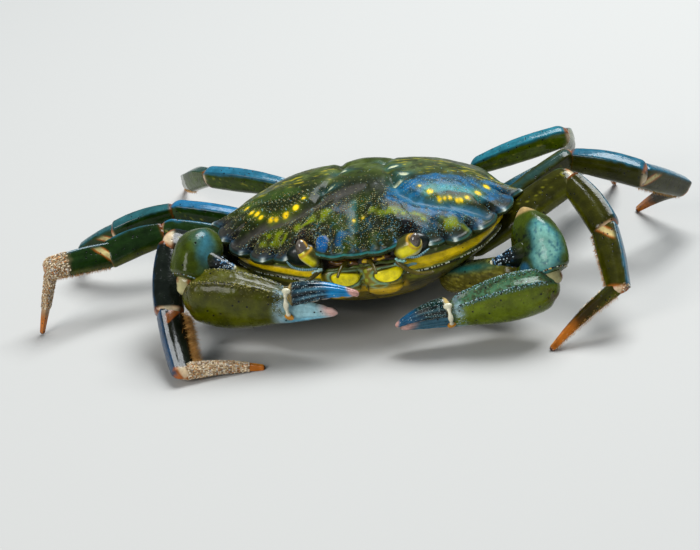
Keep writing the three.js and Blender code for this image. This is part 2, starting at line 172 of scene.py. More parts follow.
# %% [markdown]
# ## Skins, studs and bristles
# Three makers give every mesh. A skin closes rings of points with a fan at each end. Studs are small domes
# set on a surface, for granules, beads and sand. Bristles are thin curved cones, for the short hairs on its
# legs. Each writes its colours to a point attribute called paint, which the materials read.

# %% Mesh makers
PATCH = 0.003  # width of one bristle's patch on the OFBake map


def finish_piece(name, points, faces, paint, material, nodes):
    """Puts arrays into a mesh at the model's origin, parents it to the root body and hides the imported
    parts it stands for."""
    mesh = bpy.data.meshes.new(name)
    mesh.from_pydata((points + PLACE) * MM, [], faces)
    layer = mesh.attributes.new("paint", "FLOAT_COLOR", "POINT")
    layer.data.foreach_set("color",
                           np.column_stack([paint**WET, np.ones(len(paint))]).astype(np.float32).ravel())
    mesh.materials.append(material)
    mesh.shade_smooth()
    piece = bpy.data.objects.new(name, mesh)
    bpy.context.scene.collection.objects.link(piece)
    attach(piece, "root")
    if nodes:
        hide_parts(*nodes)
    return piece


def skin(name, shells, slot, material, *nodes):
    """Closed bodies in one mesh. Each shell has rings (n, m, 3), two end points and a paint for every ring
    point."""
    points, faces, paint, base = [], [], [], 0
    for shell in shells:
        rings, caps = shell.rings, shell.caps
        n, m = rings.shape[:2]
        grid = base + np.arange(n * m).reshape(n, m)
        turn = np.roll(grid, -1, axis=1)
        quads = np.stack([grid[:-1], turn[:-1], turn[1:], grid[1:]], -1).reshape(-1, 4)
        first = np.stack([np.full(m, base + n * m), turn[0], grid[0]], -1)
        last = np.stack([np.full(m, base + n * m + 1), grid[-1], turn[-1]], -1)
        p = np.vstack([rings.reshape(-1, 3), caps])
        a, b, c = (p[quads[:, k] - base] - p[0] for k in range(3))
        if np.einsum("ij,ij->", a, np.cross(b, c)) < 0:
            quads, first, last = quads[:, ::-1], first[:, ::-1], last[:, ::-1]
        points.append(p)
        faces += quads.tolist() + first.tolist() + last.tolist()
        paint.append(np.vstack([shell.paint.reshape(-1, 3), shell.paint[0].mean(0),
                                shell.paint[-1].mean(0)]))
        base += len(p)
    points = np.vstack(points)
    points[:, 2] = np.maximum(points[:, 2], -PLACE[2])
    return finish_piece(name, points, faces, np.vstack(paint), material, nodes)


def studs(name, centres, normals, radii, paint, material, height=0.7, sides=6):
    """Domes of two rings of `sides` points, at radius r and 0.8 r and heights -0.25 r and 0.6 h r, with a
    top at h r and a foot sunk to -0.3 r."""
    n = len(centres)
    axis = unit(normals)
    side = unit(np.cross(axis, np.where(np.abs(axis[:, :1]) > 0.9, [0, 1, 0], [1, 0, 0])))
    other = np.cross(axis, side)
    turn = np.arange(sides) / sides * 2 * np.pi
    radius = radii[:, None, None]
    around = side[:, None] * np.cos(turn)[None, :, None] + other[:, None] * np.sin(turn)[None, :, None]
    levels = [(1.0, -0.25), (0.8, height * 0.6)]
    rings = [centres[:, None] + around * radius * w + axis[:, None] * radius * h for w, h in levels]
    ends = [(centres + axis * radii[:, None] * h)[:, None] for h in (-0.3, height)]
    points = np.concatenate(rings + ends, axis=1)
    j = np.arange(sides)
    k = (j + 1) % sides
    low, top = 2 * sides, 2 * sides + 1
    quads = np.stack([j, k, sides + k, sides + j], -1)
    foot = np.stack([k, j, np.full(sides, low)], -1)
    crown = np.stack([sides + j, sides + k, np.full(sides, top)], -1)
    offset = (np.arange(n) * (2 * sides + 2))[:, None, None]
    faces = sum(((f + offset).reshape(-1, f.shape[1]).tolist() for f in (quads, foot, crown)), [])
    colours = np.repeat(paint, 2 * sides + 2, axis=0)
    return finish_piece(name, points.reshape(-1, 3), faces, colours, material, ())


def bristles(name, roots, ways, bends, lengths, radius, paint, homes, material):
    """Thin cones along a parabola: root + way * t + bend * t squared, with three sides that close to a
    point. Each has a small patch of the OFBake map at its root's home on the unwrapped limbs."""
    t = np.array([0, 0.35, 0.7])[None, :, None]
    way, bend = (v[:, None] * lengths[:, None, None] for v in (unit(ways), bends))
    spine = roots[:, None] + way * t + bend * t**2
    side = unit(np.cross(ways, bends + [0.13, 0.07, 0.31]))
    other = unit(np.cross(ways, side))
    turn = np.arange(3) / 3 * 2 * np.pi
    around = side[:, None] * np.cos(turn)[None, :, None] + other[:, None] * np.sin(turn)[None, :, None]
    rings = spine[:, :, None] + around[:, None] * (radius * (1 - t))[..., None]
    tips = (roots + way[:, 0] + bend[:, 0])[:, None]
    points = np.concatenate([rings.reshape(len(roots), 9, 3), tips], axis=1)
    j, k = np.arange(3), (np.arange(3) + 1) % 3
    quads = np.vstack([np.stack([j, k, 3 + k, 3 + j], -1) + 3 * i for i in range(2)])
    tip = np.stack([6 + j, 6 + k, np.full(3, 9)], -1)
    foot = np.array([[2, 1, 0]])
    offset = (np.arange(len(roots)) * 10)[:, None, None]
    faces = sum(((f + offset).reshape(-1, f.shape[1]).tolist() for f in (quads, tip, foot)), [])
    piece = finish_piece(name, points.reshape(-1, 3), faces, np.repeat(paint, 10, axis=0), material,
                         ())
    patch = (np.array([[0, 0], [1, 0], [0, 1]] * 3 + [[0.5, 0.5]]) * PATCH)[None]
    home = homes[:, None] + patch
    corner = np.zeros(len(piece.data.loops), int)
    piece.data.loops.foreach_get("vertex_index", corner)
    layer = piece.data.uv_layers.new(name="OFBake")
    layer.uv.foreach_set("vector", home.reshape(-1, 2)[corner].astype(np.float32).ravel())
    return piece


# %% [markdown]
# ## Finishes
# A crab's shell is wet, mottled, pitted with tiny dark dots and roughened by grain too fine to model. Three
# node groups carry those effects. Each puts out only a mask or a height, and every material sets its own
# sizes. The colours themselves come from the paint attribute, because they follow the plates and not the
# space round them.

# %% Node groups
def new_group(name, inputs, output):
    """A node group with float inputs and one float output."""
    group = bpy.data.node_groups.new(name, "ShaderNodeTree")
    for label, value in inputs.items():
        group.interface.new_socket(label, in_out="INPUT",
                                   socket_type="NodeSocketFloat").default_value = value
    group.interface.new_socket(output, in_out="OUTPUT", socket_type="NodeSocketFloat")
    return group, group.nodes.new("NodeGroupInput"), group.nodes.new("NodeGroupOutput")


def node(tree, kind, **values):
    """Adds a node and sets its properties, or its sockets where the name is a socket's."""
    made = tree.nodes.new(kind)
    for key, value in values.items():
        if key in made.inputs:
            made.inputs[key].default_value = value
        else:
            setattr(made, key, value)
    return made


def small_dots():
    """1 inside some of the cells' round middles: distance to the cell's middle below Size, and its draw
    below Share."""
    group, given, result = new_group("Small dots", {"Scale": 900.0, "Size": 0.25, "Share": 0.4}, "Mask")
    link = group.links.new
    place = node(group, "ShaderNodeTexCoord")
    cells = node(group, "ShaderNodeTexVoronoi")
    draw = node(group, "ShaderNodeSeparateColor")
    near = node(group, "ShaderNodeMapRange", interpolation_type="SMOOTHSTEP")
    near.inputs["To Min"].default_value, near.inputs["To Max"].default_value = 1.0, 0.0
    inner = node(group, "ShaderNodeMath", operation="MULTIPLY")
    inner.inputs[1].default_value = 0.6
    kept = node(group, "ShaderNodeMath", operation="LESS_THAN")
    both = node(group, "ShaderNodeMath", operation="MULTIPLY")
    link(place.outputs["Object"], cells.inputs["Vector"])
    link(given.outputs["Scale"], cells.inputs["Scale"])
    link(cells.outputs["Distance"], near.inputs["Value"])
    link(given.outputs["Size"], inner.inputs[0])
    link(inner.outputs[0], near.inputs["From Min"])
    link(given.outputs["Size"], near.inputs["From Max"])
    link(cells.outputs["Color"], draw.inputs[0])
    link(draw.outputs[0], kept.inputs[0])
    link(given.outputs["Share"], kept.inputs[1])
    link(near.outputs[0], both.inputs[0])
    link(kept.outputs[0], both.inputs[1])
    link(both.outputs[0], result.inputs[0])
    return group


def shell_grain():
    """Height of the fine relief: low round grains plus a rolling noise."""
    group, given, result = new_group("Shell grain", {"Scale": 2500.0, "Rolling": 0.5}, "Height")
    link = group.links.new
    place = node(group, "ShaderNodeTexCoord")
    cells = node(group, "ShaderNodeTexVoronoi", feature="SMOOTH_F1")
    waves = node(group, "ShaderNodeTexNoise", Scale=700.0, Detail=4.0)
    flip = node(group, "ShaderNodeMath", operation="SUBTRACT")
    flip.inputs[0].default_value = 1.0
    blend = node(group, "ShaderNodeMix")
    link(place.outputs["Object"], cells.inputs["Vector"])
    link(place.outputs["Object"], waves.inputs["Vector"])
    link(given.outputs["Scale"], cells.inputs["Scale"])
    link(cells.outputs["Distance"], flip.inputs[1])
    link(given.outputs["Rolling"], blend.inputs[0])
    link(flip.outputs[0], blend.inputs[2])
    link(waves.outputs[0], blend.inputs[3])
    link(blend.outputs[0], result.inputs[0])
    return group


def mottling():
    """Cloudy variation round 1, from a noise stretched to run between 1 - Amount and 1 + Amount."""
    group, given, result = new_group("Mottling", {"Scale": 400.0, "Amount": 0.4}, "Factor")
    link = group.links.new
    place = node(group, "ShaderNodeTexCoord")
    cloud = node(group, "ShaderNodeTexNoise", Detail=6.0, Roughness=0.65)
    spread = node(group, "ShaderNodeMapRange")
    spread.inputs["From Min"].default_value, spread.inputs["From Max"].default_value = 0.3, 0.7
    low, high = (node(group, "ShaderNodeMath", operation=o) for o in ("SUBTRACT", "ADD"))
    for end, socket in ((low, "To Min"), (high, "To Max")):
        end.inputs[0].default_value = 1.0
        link(given.outputs["Amount"], end.inputs[1])
        link(end.outputs[0], spread.inputs[socket])
    link(place.outputs["Object"], cloud.inputs["Vector"])
    link(given.outputs["Scale"], cloud.inputs["Scale"])
    link(cloud.outputs[0], spread.inputs["Value"])
    link(spread.outputs[0], result.inputs[0])
    return group


DOTS, GRAIN, MOTTLING = small_dots(), shell_grain(), mottling()


# %% Shell material
def use(tree, group, **values):
    made = tree.nodes.new("ShaderNodeGroup")
    made.node_tree = group
    for key, value in values.items():
        made.inputs[key].default_value = value
    return made


def shell(name, rough=(0.16, 0.38), coat=0.5, gloss=0.3, dots=None, dot_colour="#0b0f0a", grain=2600,
          bump=0.5, mottle=0.35):
    """Painted colour times mottling, dark dots over it, and a fine relief. Roughness wanders between two
    values."""
    material = bpy.data.materials.new(name)
    material.use_nodes = True
    tree = material.node_tree
    link = tree.links.new
    look = tree.nodes["Principled BSDF"]
    look.inputs["Coat Weight"].default_value = coat
    look.inputs["Coat Roughness"].default_value = 0.09
    look.inputs["Specular IOR Level"].default_value = gloss
    paint = node(tree, "ShaderNodeAttribute", attribute_name="paint")
    cloud = use(tree, MOTTLING, Scale=520.0, Amount=mottle)
    shade = node(tree, "ShaderNodeVectorMath", operation="SCALE")
    link(paint.outputs["Color"], shade.inputs[0])
    link(cloud.outputs[0], shade.inputs["Scale"])
    colour = shade.outputs[0]
    relief = use(tree, GRAIN, Scale=grain, Rolling=0.45)
    height = relief.outputs[0]
    if dots:
        scale, size, share = dots
        spots = use(tree, DOTS, Scale=scale, Size=size, Share=share)
        dark = node(tree, "ShaderNodeMix", data_type="RGBA")
        dark.inputs[7].default_value = (*tint(dot_colour), 1)
        link(spots.outputs[0], dark.inputs[0])
        link(colour, dark.inputs[6])
        colour = dark.outputs[2]
        sink = node(tree, "ShaderNodeMath", operation="SUBTRACT")
        link(height, sink.inputs[0])
        link(spots.outputs[0], sink.inputs[1])
        height = sink.outputs[0]
    link(colour, look.inputs["Base Color"])
    wet = node(tree, "ShaderNodeMapRange")
    wet.inputs["From Min"].default_value, wet.inputs["From Max"].default_value = 1 - mottle, 1 + mottle
    wet.inputs["To Min"].default_value, wet.inputs["To Max"].default_value = rough
    link(cloud.outputs[0], wet.inputs["Value"])
    link(wet.outputs[0], look.inputs["Roughness"])
    rise = node(tree, "ShaderNodeBump", Strength=bump, Distance=0.00012)
    link(height, rise.inputs["Height"])
    link(rise.outputs[0], look.inputs["Normal"])
    return material


back_look = shell("wet back shell", rough=(0.3, 0.48), coat=0.06, gloss=0.1, dots=(1500.0, 0.22, 0.3),
                  bump=0.4)
granule_look = shell("pale granules", rough=(0.2, 0.35), coat=0.3, bump=0.1, mottle=0.2)
claw_look = shell("pitted claw shell", rough=(0.2, 0.34), coat=0.2, gloss=0.14, dots=(700.0, 0.19, 0.5),
                  bump=0.55)
finger_look = shell("dark finger shell", rough=(0.14, 0.3), coat=0.3, gloss=0.2, dots=(1900.0, 0.26, 0.3),
                    dot_colour="#9fb7bd", bump=0.6)
leg_look = shell("wet leg shell", rough=(0.14, 0.28), coat=0.18, gloss=0.16, dots=(1100.0, 0.24, 0.35),
                 bump=0.5)
under_look = shell("satin under shell", rough=(0.25, 0.5), coat=0.25, dots=(1300.0, 0.2, 0.2), bump=0.5)
skin_look = shell("joint skin", rough=(0.2, 0.4), coat=0.35, bump=0.25, mottle=0.25)
eye_look = shell("faceted eye", rough=(0.06, 0.14), coat=0.8, dots=(2600.0, 0.3, 0.5), grain=9000,
                 bump=0.12)
hair_look = shell("short hair", rough=(0.35, 0.55), coat=0.05, bump=0.05, mottle=0.3)
grit_look = shell("sand grains", rough=(0.45, 0.7), coat=0.1, grain=6000, bump=0.4, mottle=0.3)
print(len(bpy.data.materials), "materials,", len(bpy.data.node_groups), "node groups")

# %% [markdown]
# ## The back plate
# The carapace is one plate on a grid that is polar in plan: `share` runs from the crown to the rim and the
# columns follow the rim, so each side tooth keeps its own points. Near the crown the outline is a plain
# rounded one, and it turns into the toothed rim over the outer fifth. Grooves part the swellings over
# stomach, heart and gills.

# %% Rim and back surface
HALF_RIM = [  # from the middle of the front to the middle of the back: x, y, z and the bow to the next point
    (0, -21.2, -1.2, 0.06), (2.4, -20.6, -1.2, 0.2), (6.4, -20.2, -1.1, 0.1), (8.4, -19.5, -0.6, -0.1),
    (9.4, -17, -0.3, -0.2), (12.9, -16.5, -1.4, 0.1), (14.5, -18.2, -2, 0.16), (17.4, -15.7, -2.3, 0),
    (19.5, -16.8, -2.4, 0.18), (22.6, -12.7, -2, 0), (24.5, -13.4, -1.8, 0.16), (27.4, -7.6, -1.2, 0),
    (29.1, -7.4, -0.9, 0.12), (30.4, -1.4, -0.4, 0), (32.5, 0.3, 0, -0.02), (25.5, 14.5, -2.6, 0.06),
    (15.5, 26.6, -5.6, 0.12), (10, 28.2, -6, 0), (0, 27.8, -6, 0),
]
DOME = 7.5  # height of the crown above the side teeth
RIM_SPACING = 0.28  # between the rim's points


def rim_line(spacing):
    """The rim's points: each stretch runs straight plus a bow of 4 t (1 - t), and the half is mirrored."""
    parts = []
    for (ax, ay, az, bow), (bx, by, bz, _) in zip(HALF_RIM[:-1], HALF_RIM[1:]):
        t = np.linspace(0, 1, max(2, round(np.hypot(bx - ax, by - ay) / spacing)), endpoint=False)
        out = bow * 4 * t * (1 - t)
        parts.append(np.stack([mix(ax, bx, t) + out * (by - ay), mix(ay, by, t) - out * (bx - ax),
                               mix(az, bz, t)], -1))
    half = np.vstack(parts + [np.array([HALF_RIM[-1][:3]])])
    return np.vstack([half, half[-2:0:-1] * [-1, 1, 1]])


CERVICAL = [(27.5, -9.5), (24.5, -9.6), (20.5, -9.8), (16, -9.8), (12, -9.2), (8.5, -7.2), (7.2, -3.5)]
MIDDLE_GROOVE = [(7.2, -3.5), (5.2, 2.5), (4.2, 7.5), (5.5, 12), (7.5, 19)]
SCARS = [(-6, -3.7), (-3.8, 3.1), (8, -3.4), (9.2, -0.8), (6.6, 3.2), (4.3, 7.5)]
SWELLINGS = [  # x, y, reach and height of each dome, on both sides
    (4.8, -12, 3.6, 0.75), (3.2, -17.4, 2.4, 0.35), (11, -14.3, 3.0, 0.4), (19.5, -13, 3.2, 0.5),
    (0, -4, 4.5, 0.4),
    (19, -2.5, 7.5, 0.8), (14, 9, 6.5, 0.5), (0, 12, 4.2, 0.55), (0, 21, 3.4, 0.3), (23, 5, 4.5, 0.3),
]


NOTCHES = [(17.4, -15.7), (22.6, -12.7), (27.4, -7.6), (30.4, -1.4)]  # between the side teeth
TEETH = [(14.5, -18.2), (19.5, -16.8), (24.5, -13.4), (29.1, -7.4), (32.5, 0.3)]


def back_relief(x, y, share):
    """Height over the plain dome: swellings up, grooves, notches and muscle scars down, a hood behind each
    eye."""
    ax = np.abs(x)
    h = sum(tall * np.exp(-((ax - cx) ** 2 + (y - cy) ** 2) / reach**2) for cx, cy, reach,
            tall in SWELLINGS)
    h -= 0.8 * hump(away(ax, y, CERVICAL), 1.3)
    h -= 0.65 * hump(away(ax, y, MIDDLE_GROOVE), 0.9)
    h -= 0.4 * hump(away(ax, y, [(0, 8.2), (4.4, 7.8)]), 0.9)
    h -= 0.3 * hump(away(ax, y, [(0, -20.5), (0, -12)]),
                    0.9) + 0.35 * hump(away(ax, y, [(4.4, -20), (4.2, -17.5)]), 0.7)
    h -= sum(0.3 * hump(np.hypot(x - cx, (y - cy) * 1.6), 0.8) for cx, cy in SCARS)
    for nx, ny in NOTCHES:
        h -= 0.55 * hump(away(ax, y, [(nx, ny), (nx * 0.88, mix(ny, 2, 0.12))]), 0.45)
    h += 0.5 * hump(np.hypot(ax - 11.3, y + 17.4) - 2.6, 0.8) * step(-14.5, -16, y)
    h += 0.45 * step(1.3, 0.7, np.hypot((ax - 6.7) * 0.8, (y + 18.3) * 0.75))
    p = np.stack([x, y, 0 * x], -1)
    h += 0.3 * (clouds(p, 3.2, 3) - 0.5) + 0.1 * (noise(p, 0.8, 8) - 0.5)
    return h * step(1.0, 0.93, share) + 0.22 * hump(share - 0.985, 0.01) - 0.1 * hump(share - 0.93,
                                                                                0.04) * step(1, 0.94, share)


def back_point(share, rim):
    """(x, y) = share * mix(plain, toothed outline); z = rim's * share^2 + dome * (1 - share^2.2) +
    relief."""
    x, y = rim[..., 0], rim[..., 1]
    reach = (np.abs(x / 31) ** 2.35 + np.abs((y - 2) / np.where(y < 2, 22.6, 27)) ** 2.35) ** (-1 / 2.35)
    toothed = step(0.8, 1, share)
    px = share * mix(x * reach, x, toothed)
    py = mix(2, mix(2 + (y - 2) * reach, y, toothed), share)
    z = rim[..., 2] * share**2 + DOME * (1 - share**2.2) + back_relief(px, py, share)
    return np.stack([px, py, z + 0 * px], -1)


rim = rim_line(RIM_SPACING)
print("The rim has", len(rim), "columns")


# %% [markdown]
# ## Colours of the back
# The back is near black, with blue over the crab's left shoulder, olive patches behind the eyes, a dull
# painted sheen along the neck groove, olive with yellow streaks behind, and an arc of yellow spots on each
# side.
# Each area is a mask: the distance to a line or a point, with its edge broken by noise.

# %% Back colours
def patch(x, y, path, width, ragged=1.2, seed=0):
    """1 within `width` of a line, 0 beyond, with an edge that noise moves in and out."""
    p = np.stack([x, y, 0 * x], -1)
    wobble = (clouds(p, 1.8, seed) - 0.5) * ragged * 2
    return step(width + 0.45, width - 0.45, away(x, y, path) + wobble)


YELLOW_SPOTS = [  # x, y and radius
    (-24.1, -1.4, 0.5), (-22.6, -4.5, 0.55), (-21.2, -5.7, 0.6), (-20.2, -7.3, 0.5), (-17.9, -8.6, 0.5),
    (-16.9, -8.9, 0.4), (-14.8, -8.5, 0.6), (-12.7, -7.5, 0.55), (-11.1, -5.6, 0.4), (12.6, -5.5, 0.35),
    (14.7, -6.9, 0.65), (16.6, -8.4, 0.45), (17.6, -8.2, 0.35), (18.6, -8, 0.4), (20.1, -8.2, 0.45),
    (20.8, -8.0, 0.35), (22, -7.1, 0.45), (24, -5, 0.65), (25.6, -1.9, 0.6), (26.3, 3.4, 0.3),
    (-0.3, -14.1, 0.3),
    (1.6, -14, 0.3),
]


def back_paint(x, y, share):
    """Lays the areas over one another, from the dark ground to the pale rim."""
    p = np.stack([x, y, 0 * x], -1)
    grain, cloud = noise(p, 0.7, 5), clouds(p, 2.6, 7)
    ax = np.abs(x)
    paint = np.broadcast_to(tint("#2a3214"), x.shape + (3,)) * (0.45 + 1.0 * cloud)[..., None]
    paint = over(paint, "#33321f", step(2, -6, x) * step(-6, -12, y) * 0.5)
    paint = over(paint, "#3a4a0c", step(0.5, 0.66, clouds(p, 2.2, 19)) * step(-6, -10, y) * 0.8)
    rear = step(-4, 3, y + 3 * (clouds(p, 4, 11) - 0.5))
    paint = over(paint, "#4e5c14", rear * (0.45 + 0.45 * cloud))
    paint = over(paint, "#6f7a4e", rear * step(0.45, 0.7, clouds(p, 5, 13)) * 0.6)
    streaks = step(0.58, 0.68, clouds(p * [1, 2.4, 1], 1.7, 21))
    paint = over(paint, "#b5a830", streaks * step(-2, 2, y) * step(11, 6, y) * step(3, 8, ax) * 0.75)
    paint = over(paint, "#141a14", rear * step(0.5, 0.38, clouds(p, 1.5, 31)) * 0.5)
    net = 1 - np.abs(2 * clouds(p, 2.0, 17) - 1)
    paint = over(paint, "#1f6684", step(0.88, 0.97, net) * step(-8, -12, y) * step(14, 8, ax) * 0.35)
    blue = patch(x, y, [(8.7, -8), (14.4, -4.2), (20.3, -3.6), (27.5, -2.6)], 2.9, 1.4, 41)
    blue = np.maximum(blue, patch(x, y, [(11.5, -10.6), (16.7, -11.6), (23.5, -10.6)], 1.9, 1.2, 43))
    blue = np.maximum(blue, 0.55 * patch(x, y, [(13, -16), (16, -13)], 1.2, 1.0, 45))
    paint = over(paint, "#126a94",
                 blue * (0.35 + 0.75 * step(0.25, 0.7, noise(p, 0.8, 15))) * (0.6 + 0.4 * cloud))
    paint = over(paint, "#48a595",
                 blue * hump(away(x, y, [(15, -6.4), (23, -5.6)]), 1.7) * (0.3 + 0.5 * cloud))
    paint = over(paint, "#3f7f80",
                 0.5 * patch(x, y, [(-0.6, -10.5), (-0.2, -15.5)], 0.9, 0.8, 47) * (0.4 + 0.6 * grain))
    paint = over(paint, "#2b74a6", 0.5 * patch(x, y, [(-2.8, -17), (-3.4, -18.6)], 0.9, 0.7, 49))
    olive = patch(x, y, [(17.6, -13.8), (21.3, -13.0)], 1.2, 1, 51)
    olive = np.maximum(olive, patch(x, y, [(3.6, -13.2), (12.6, -13.6)], 1.1, 1, 53))
    olive = np.maximum(olive, patch(x, y, [(-5.4, -12.6), (-11.8, -13.2)], 1.1, 1, 55))
    olive = np.maximum(olive, patch(x, y, [(-15.4, -13.6), (-19.9, -13.2)], 1.4, 1, 57))
    paint = over(paint, "#7c880a", olive * (0.1 + 0.85 * step(0.3, 0.7, noise(p, 0.9, 6))))
    paint = over(paint, "#3f531c", 0.8 * patch(x, y, [(-23, -1), (-14, -2.5)], 1.8, 1.6, 59))
    # Painted sheen: a grey-brown band of painted reflection along the left neck groove, and a blue-grey one
    # along the right.
    groove = away(x, y, [(-26.8, -10.4), (-20.4, -10.2), (-11.7, -9.9), (-5.5, -8.2), (0.5, -5.6)])
    paint = over(paint, "#4d4a44", step(1.9, 0.7, groove + 0.5 * (cloud - 0.5)) * 0.85)
    right_groove_sheen = step(1.6, 0.6,
                away(x, y, [(25.5, -9.6), (20.4, -9.8), (12, -9.2), (7, -5.6)]) + 0.5 * (cloud - 0.5))
    paint = over(paint, "#3a7288", right_groove_sheen * 0.6)
    for cx, cy, r in YELLOW_SPOTS:
        far = np.hypot(x - cx, y - cy) + 0.25 * (grain - 0.5)
        paint = over(paint, "#7d8c1c", hump(far, r * 1.9) * 0.6)
        paint = over(paint, "#f0cb20", step(r + 0.16, r - 0.2, far))
    for cx, cy in SCARS:
        far = np.hypot((x - cx) * 0.6, y - cy) + 0.35 * (grain - 0.5)
        paint = over(paint, "#3f7478", hump(far, 1.3) * 0.6)
        paint = over(paint, "#d3d5b4", step(0.75, 0.3, far) * 0.85)
    paint = over(paint, "#372f31", 0.8 * hump(np.hypot(ax - 11.2, y + 16.6) - 1.2, 1.1) * step(-14, -16, y))
    lobe = hump(np.hypot((x + 6.7) * (0.8 - 0.12 * (y + 18.3)), (y + 18.3) * 0.75),
                1.25) + 0.6 * hump(np.hypot(x - 8.0, y + 18.7), 1.0)
    paint = over(paint, "#1f6496", step(0.4, 0.62, lobe + 0.3 * (grain - 0.5)))
    front = step(4, 0, y)
    leaf = step(0.88, 0.94, share) * front * step(12, 16, ax)
    paint = over(paint, "#45423e", leaf * np.where(x < 0, 0.8, 0.35))
    for nx, ny in NOTCHES + TEETH:
        paint = over(paint, "#2f7ba6",
                     hump(np.hypot(ax - nx, y - ny), 1.0) * step(0.92, 0.97, share) * (0.05 + 0.6 * grain))
    edge = step(0.988, 0.995, share + 0.004 * (grain - 0.5))
    paint = over(paint, "#3f8a88", edge * front * np.where(np.abs(x + 2) > 11, 0.25, 0.7))
    # Painted shade: the notches between the side teeth are painted nearly black.
    for nx, ny in NOTCHES:
        gap = away(ax, y, [(nx, ny), (nx * 0.9, mix(ny, 2, 0.1))])
        paint = over(paint, "#0d100e", hump(gap, 0.45) * step(0.86, 0.93, share) * 0.85)
    paint = over(paint, "#5d6a3e", edge * (1 - front) * 0.6)
    for tx, ty in TEETH:
        paint = over(paint, "#e3e8dc", hump(np.hypot(ax - tx, y - ty), 0.5) * 0.9)
    return paint


# %% Back plate
share = np.concatenate([np.linspace(0.012, 0.86, 84), np.linspace(0.868, 1, 22)])[:, None]
top = back_point(share, rim[None])
top_paint = back_paint(top[..., 0], top[..., 1], share + 0 * top[..., 0])
outward = unit(np.roll(rim, -1, 0) - np.roll(rim, 1, 0))[:, [1, 0, 2]] * [1, -1, 0]
roll_angle = np.radians([20, 60, 100, 140])[:, None, None]
rolled = rim + outward * 0.14 * np.sin(roll_angle) - np.array([0, 0, 0.3]) * (1 - np.cos(roll_angle))
under = np.stack([rim * s + [0, 2 * (1 - s), -drop] for s,
                  drop in ((0.988, 0.75), (0.96, 1.15), (0.88, 1.6), (0.7, 1.9))])
rings = in_body(np.concatenate([top, rolled, under]))
under_paint = np.broadcast_to(tint("#3f4a2c"), (len(rolled) + len(under), len(rim), 3))
plate = SimpleNamespace(
    rings=rings,
    caps=in_body([back_point(np.array([0.0]), rim[:1])[0], [0, 2, -2.3]]),
    paint=np.concatenate([top_paint, under_paint]),
)
skin("toothed_back_plate", [plate], "back_shell", back_look, "carapace")
print(len(rings) * len(rim) * 2, "triangles in the back plate")

# %% [markdown]
# ## Granules and beads
# The front half of the back is rough with pale granules, each a small dome of 24 triangles. They are placed
# by a low-discrepancy sequence, which spreads points evenly without a pattern, and thinned by a density
# drawn in the same coordinates as the colours. A row of larger beads follows the rim.

# %% Granules
rng = np.random.default_rng(11)


SPREAD = [0.8191725133961645, 0.6710436067037893, 0.5497004779019703]  # steps of the even sequence
GRANULE_DRAWS, KEPT_SHARE = 23000, 0.75


def even_triples(count):
    """Points in the unit cube from a low-discrepancy sequence: evenly spread, also after thinning by the
    third."""
    return (0.5 + np.arange(count)[:, None] * SPREAD) % 1


def on_back(share, turn):
    """Points and normals on the back at a share of the way out and a share of the way round the rim."""
    at = turn * len(rim)
    i = np.floor(at).astype(int)
    here = mix(rim[i % len(rim)], rim[(i + 1) % len(rim)], (at - i)[:, None])
    ahead = mix(rim[(i + 2) % len(rim)], rim[(i + 3) % len(rim)], (at - i)[:, None])
    p = back_point(share, here)
    du, dv = back_point(share + 0.01, here) - p, back_point(share, ahead) - p
    n = unit(np.cross(dv, du))
    return p, n * np.sign(n[:, 2:])


draw = even_triples(GRANULE_DRAWS)
jitter = rng.normal(0, 0.0035, (len(draw), 2))
share_at, turn_at = np.sqrt(draw[:, 0]) * 0.955 + jitter[:, 0], (draw[:, 1] + jitter[:, 1]) % 1
p, n = on_back(share_at, turn_at)
x, y = p[:, 0], p[:, 1]
cloud = clouds(p, 3.0, 71)
density = step(-5, -11, y) * 0.9
density = np.maximum(density, 0.6 * step(0.7, 0.9, share_at) * step(8, -2, y))
density = np.maximum(density, 0.9 * patch(x, y, [(9, -6), (20, -6), (27, 0)], 3.6, 1, 73))
density = np.maximum(density, 0.7 * patch(x, y, [(-9, -6), (-20, -6), (-27, 0)], 3.2, 1, 75))
density = np.maximum(density, 0.12 * step(6, -2, y))
density *= step(0.4, 1.4, away(np.abs(x), y, CERVICAL)) * (0.35 + 0.65 * step(0.3, 0.6, cloud + 0.12))
keep = draw[:, 2] < density * KEPT_SHARE
p, n, x, y = p[keep], n[keep], x[keep], y[keep]
size = rng.uniform(0.06, 0.1, len(p)) * (0.9 + 0.5 * (rng.random(len(p)) < 0.1))
cream, orange, pale = tint("#b9b884"), tint("#b48c48"), tint("#86b4bc")
kind = rng.random(len(p))[:, None]
bluish = (0.2 + 0.6 * step(4, 10, x))[:, None]
colour = np.where(kind < bluish, pale, np.where(kind > 0.82, orange, cream)) * rng.uniform(0.6, 1.05,
                                                                                           (len(p), 1))
granules = SimpleNamespace(p=in_body(p), n=turned(n), r=size, paint=colour)
studs("granules_on_the_back", granules.p, granules.n, granules.r, granules.paint,
      granule_look)

beads_along = np.flatnonzero(np.arange(len(rim)) % 2 == 0)
beads = rim[beads_along] + [0, 0, -0.12]
bead_out = outward[beads_along] + [0, 0, 0.6]
front_bead = step(6, 0, beads[:, 1])
bead_paint = mix(tint("#56604a"), tint("#c9e4e0"), front_bead[:, None]) * rng.uniform(0.6, 1.15,
                                                                                      (len(beads), 1))
beads_r = rng.uniform(0.09, 0.15, len(beads))
studs("beads_along_the_rim", in_body(beads), turned(bead_out), beads_r, bead_paint,
      granule_look)
print(len(p), "granules and", len(beads), "rim beads")

# %% [markdown]
# ## The trunk under the back
# The trunk is a stack of rounded-square sections. Its front shows the yellow fold under the rim, a beaded
# ridge of black and white below that, and an olive flank; the rest is the paler underside.

